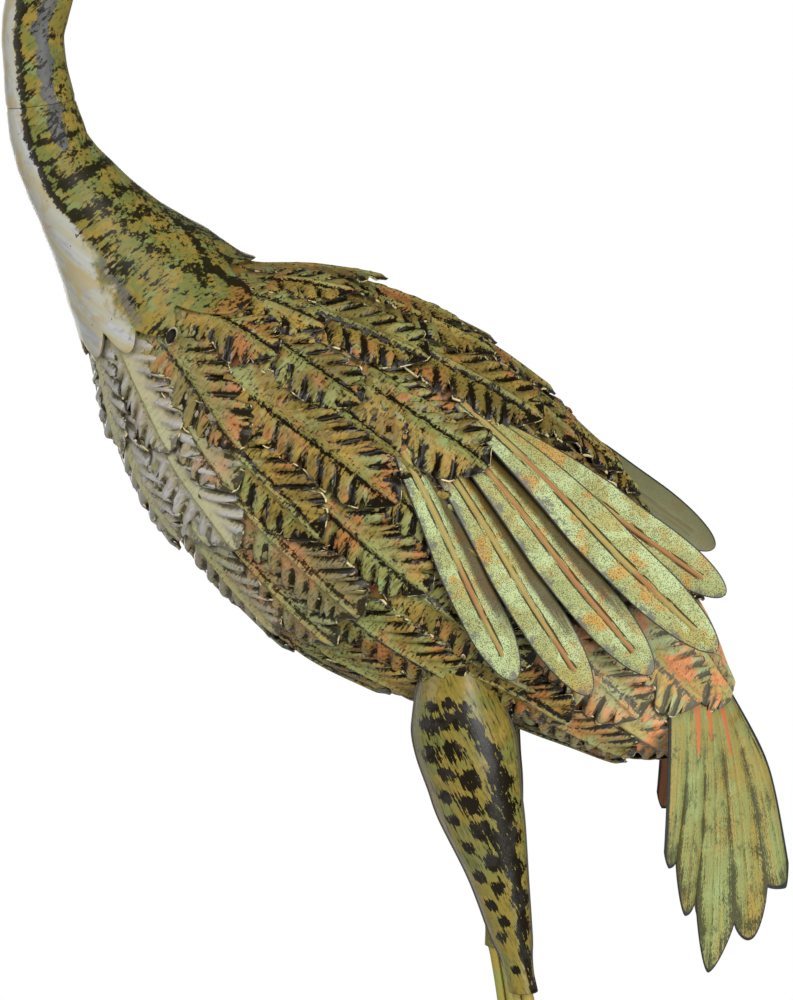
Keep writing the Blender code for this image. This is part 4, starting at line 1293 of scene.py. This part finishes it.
def make_thigh(name, side, stands_for):
    """A flattened cone of two welded halves, with an open sleeve at its lower end."""
    bore = BUNDLE_RADIUS + GAP
    radius = bore + SLEEVE_WALL
    rows = THIGH + tuple((z, x - radius, x + radius, radius) for z, x in SLEEVE_LINE)
    place = np.linspace(0, len(rows) - 1.001, THIGH_GRID[0])
    height, front, rear, thick = (v[:, None] for v in row_values(rows, place).T)
    turns = full_turn(THIGH_GRID[1])
    cosine, sine = np.cos(turns), np.sin(turns)
    centre = side * LEG_SPREAD / 2
    half = (rear - front) / 2
    power = 1 + 0.35 * np.clip((half - thick) / 8, 0, 1)
    seam = SEAM_HEIGHT * bell(np.abs(cosine) - 1, SEAM_WIDTH) * ramp(296, 312, height)
    x = (front + rear) / 2 + stride_shift(height, side) + half * cosine + np.sign(cosine) * seam
    rings = [vectors(x, centre + thick * np.sign(sine) * np.abs(sine) ** power, height)]
    end, up = sleeve_end(side)
    for depth in (0.0, SLEEVE_DEPTH * 0.5, SLEEVE_DEPTH):
        hub = end + up * depth
        rings.append(vectors(hub[0] + bore * cosine, centre + bore * sine, hub[2])[None])
    across = (1 + cosine) / 2 + 0 * height
    values = {
        "stroke": thigh_stroke(height, across, half),
        "rim": np.maximum(ramp(0.992, 0.998, np.abs(cosine)), ramp(290.5, 289.2, height)),
        # pale: painted highlight down the front edge of the thigh
        "pale": 0.6 * ramp(0.12, 0.02, across) * ramp(300, 340, height),
    }
    add_loft(name, np.concatenate(rings), "thigh_paint", stands_for, padded(values, 3))


def add_toed_rod(name, points, ahead, bend, shares, reach, toe, stands_for):
    """A rod that bends forward at its end and tapers; the toe is rows of share and thickness."""
    turned = np.radians(90 * shares)[:, None]
    foot = points[-1] + ahead * bend * (1 - np.cos(turned)) - (0, 0, bend) * np.sin(turned)
    share, size = np.array(toe).T
    line = np.concatenate([points, foot, foot[-1] + ahead * reach * share[:, None]])
    radii = ROD_RADIUS * np.concatenate([np.ones(len(points) + len(foot)), size])
    add_loft(name, tube_grid(line, radii, 18), "rod_paint", (stands_for,))


def make_leg(side_name, side):
    """Three rods in a bundle. At the foot each one turns forward into a toe."""
    foot_z = BASE_THICKNESS + GAP + ROD_RADIUS
    centre = side * LEG_SPREAD / 2
    end, up = sleeve_end(side)
    lower = row_values(LEG_LINE, np.linspace(0, len(LEG_LINE) - 1.0001, 50))
    line = np.array([end + up * (SLEEVE_DEPTH - SEAT_CLEARANCE), end + up * 6, end]
                    + [np.array((x + stride_shift(z, side), 0, z)) for x, z in lower])
    bend = line[-1][2] - foot_z
    for name, turn, splay in (("middle", 180, 0), ("outer", 60, 1), ("inner", -60, -1)):
        around = math.radians(turn)
        spread = math.radians(TOE_SPLAY) * splay
        shift = (BUNDLE_OFFSET * math.cos(around), centre + side * BUNDLE_OFFSET * math.sin(around), 0)
        ahead = np.array((-math.cos(spread), side * math.sin(spread), 0))
        add_toed_rod(f"{side_name}_rod_{name}", line + shift, ahead, bend, np.linspace(0.1, 1, 10),
                     TOE_REACH - bend, TOE, f"{side_name}_leg_rod_{name}")
    back = line[-1][0] + 2 * BUNDLE_OFFSET + 0.5 * GAP
    points = [(back, centre, foot_z + HIND_BEND + rise) for rise in (20.0, 10.0, 0.0)]
    add_toed_rod(f"{side_name}_rear_toe", np.array(points), np.array((1, 0, 0)), HIND_BEND,
                 np.linspace(0, 1, 10)[1:], HIND_REACH, HIND_TOE, f"{side_name}_hind_toe")


def make_base():
    """A flat plate with round corners and softened edges."""
    turns = full_turn(128)
    cosine, sine = np.cos(turns), np.sin(turns)
    x_side = np.where(np.abs(cosine) < 1e-6, np.sign(sine), np.sign(cosine))
    y_side = np.where(np.abs(sine) < 1e-6, np.sign(cosine), np.sign(sine))
    rings = []
    for height, inset in ((0.0, 0.8), (0.2, 0.25), (0.8, 0.0), (3.2, 0.0), (3.8, 0.25), (4.0, 0.8)):
        corner = BASE_CORNER - inset
        rings.append(vectors((BASE_LENGTH / 2 - BASE_CORNER) * x_side + corner * cosine,
                             (BASE_WIDTH / 2 - BASE_CORNER) * y_side + corner * sine, height))
    add_loft("base_plate_sheet", np.array(rings), "dark_paint", ("base_plate",))


# Scene

def aim(name, data, place):
    """A camera or light at a place, turned to look at the bird."""
    item = bpy.data.objects.new(name, data)
    item.location = place
    item.rotation_mode = "QUATERNION"
    item.rotation_quaternion = (AIM - place).to_track_quat("-Z", "Y")
    bpy.context.collection.objects.link(item)
    return item


def make_camera():
    azimuth = math.radians(AZIMUTH)
    elevation = math.radians(ELEVATION)
    back = Vector((math.sin(azimuth) * math.cos(elevation),
                   -math.cos(azimuth) * math.cos(elevation), math.sin(elevation)))
    data = bpy.data.cameras.new("camera")
    data.lens = LENS
    bpy.context.scene.camera = aim("camera", data, AIM + back * CAMERA_DISTANCE)


def make_studio():
    """White surroundings, soft boxes, and a round pale floor."""
    for name, place, size, power in LIGHTS:
        data = bpy.data.lights.new(name, "AREA")
        data.shape = "RECTANGLE"
        data.size, data.size_y = size
        data.energy = power
        aim(name, data, Vector(place))
    world = bpy.data.worlds.new("studio")
    world.use_nodes = True
    tree = world.node_tree
    plain = tree.nodes["Background"]
    plain.inputs["Color"].default_value = (0.97, 0.98, 1.0, 1.0)
    plain.inputs["Strength"].default_value = 0.20
    white = tree.nodes.new("ShaderNodeBackground")
    white.inputs["Color"].default_value = (1.0, 1.0, 1.0, 1.0)
    seen = tree.nodes.new("ShaderNodeLightPath")
    both = tree.nodes.new("ShaderNodeMixShader")
    tree.links.new(seen.outputs["Is Camera Ray"], both.inputs[0])
    tree.links.new(plain.outputs[0], both.inputs[1])
    tree.links.new(white.outputs[0], both.inputs[2])
    tree.links.new(both.outputs[0], tree.nodes["World Output"].inputs["Surface"])
    bpy.context.scene.world = world
    bpy.context.scene.view_settings.view_transform = "Standard"
    mesh = bpy.data.meshes.new("floor")
    points = [(FLOOR_RADIUS * math.cos(a), FLOOR_RADIUS * math.sin(a), -0.0002) for a in full_turn(96)]
    mesh.from_pydata(points, [], [tuple(range(96))])
    mesh.materials.append(plain_paint("floor_paint", (232, 232, 230), (236, 236, 234),
                                      (228, 228, 226), 0.7))
    floor = bpy.data.objects.new("floor", mesh)
    bpy.context.collection.objects.link(floor)


make_camera()
make_feathers()
make_upper_neck()
make_collar()
make_head()
for side_name, side in SIDES:
    for index, row in enumerate(PRIMARIES):
        make_primary(f"{side_name}_wing_{index + 1}", row, side, (f"{side_name}_primary_{index + 1}",))
    make_tail(f"{side_name}_tail_sheet", side, (f"{side_name}_tail_fan",))
    make_thigh(f"{side_name}_thigh_sheet", side, (f"{side_name}_thigh",))
    make_leg(side_name, side)
    make_tab(f"{side_name}_hem_tab", side)
    make_eye(f"{side_name}_eye_bead", side, (f"{side_name}_eye",))
    make_crest(f"{side_name}_crest", side, (f"{side_name}_crest_plume",))
make_base()
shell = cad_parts["body_shell"]
shell.data.materials.clear()
shell.data.materials.append(PAINTS["body_paint"])
make_studio()
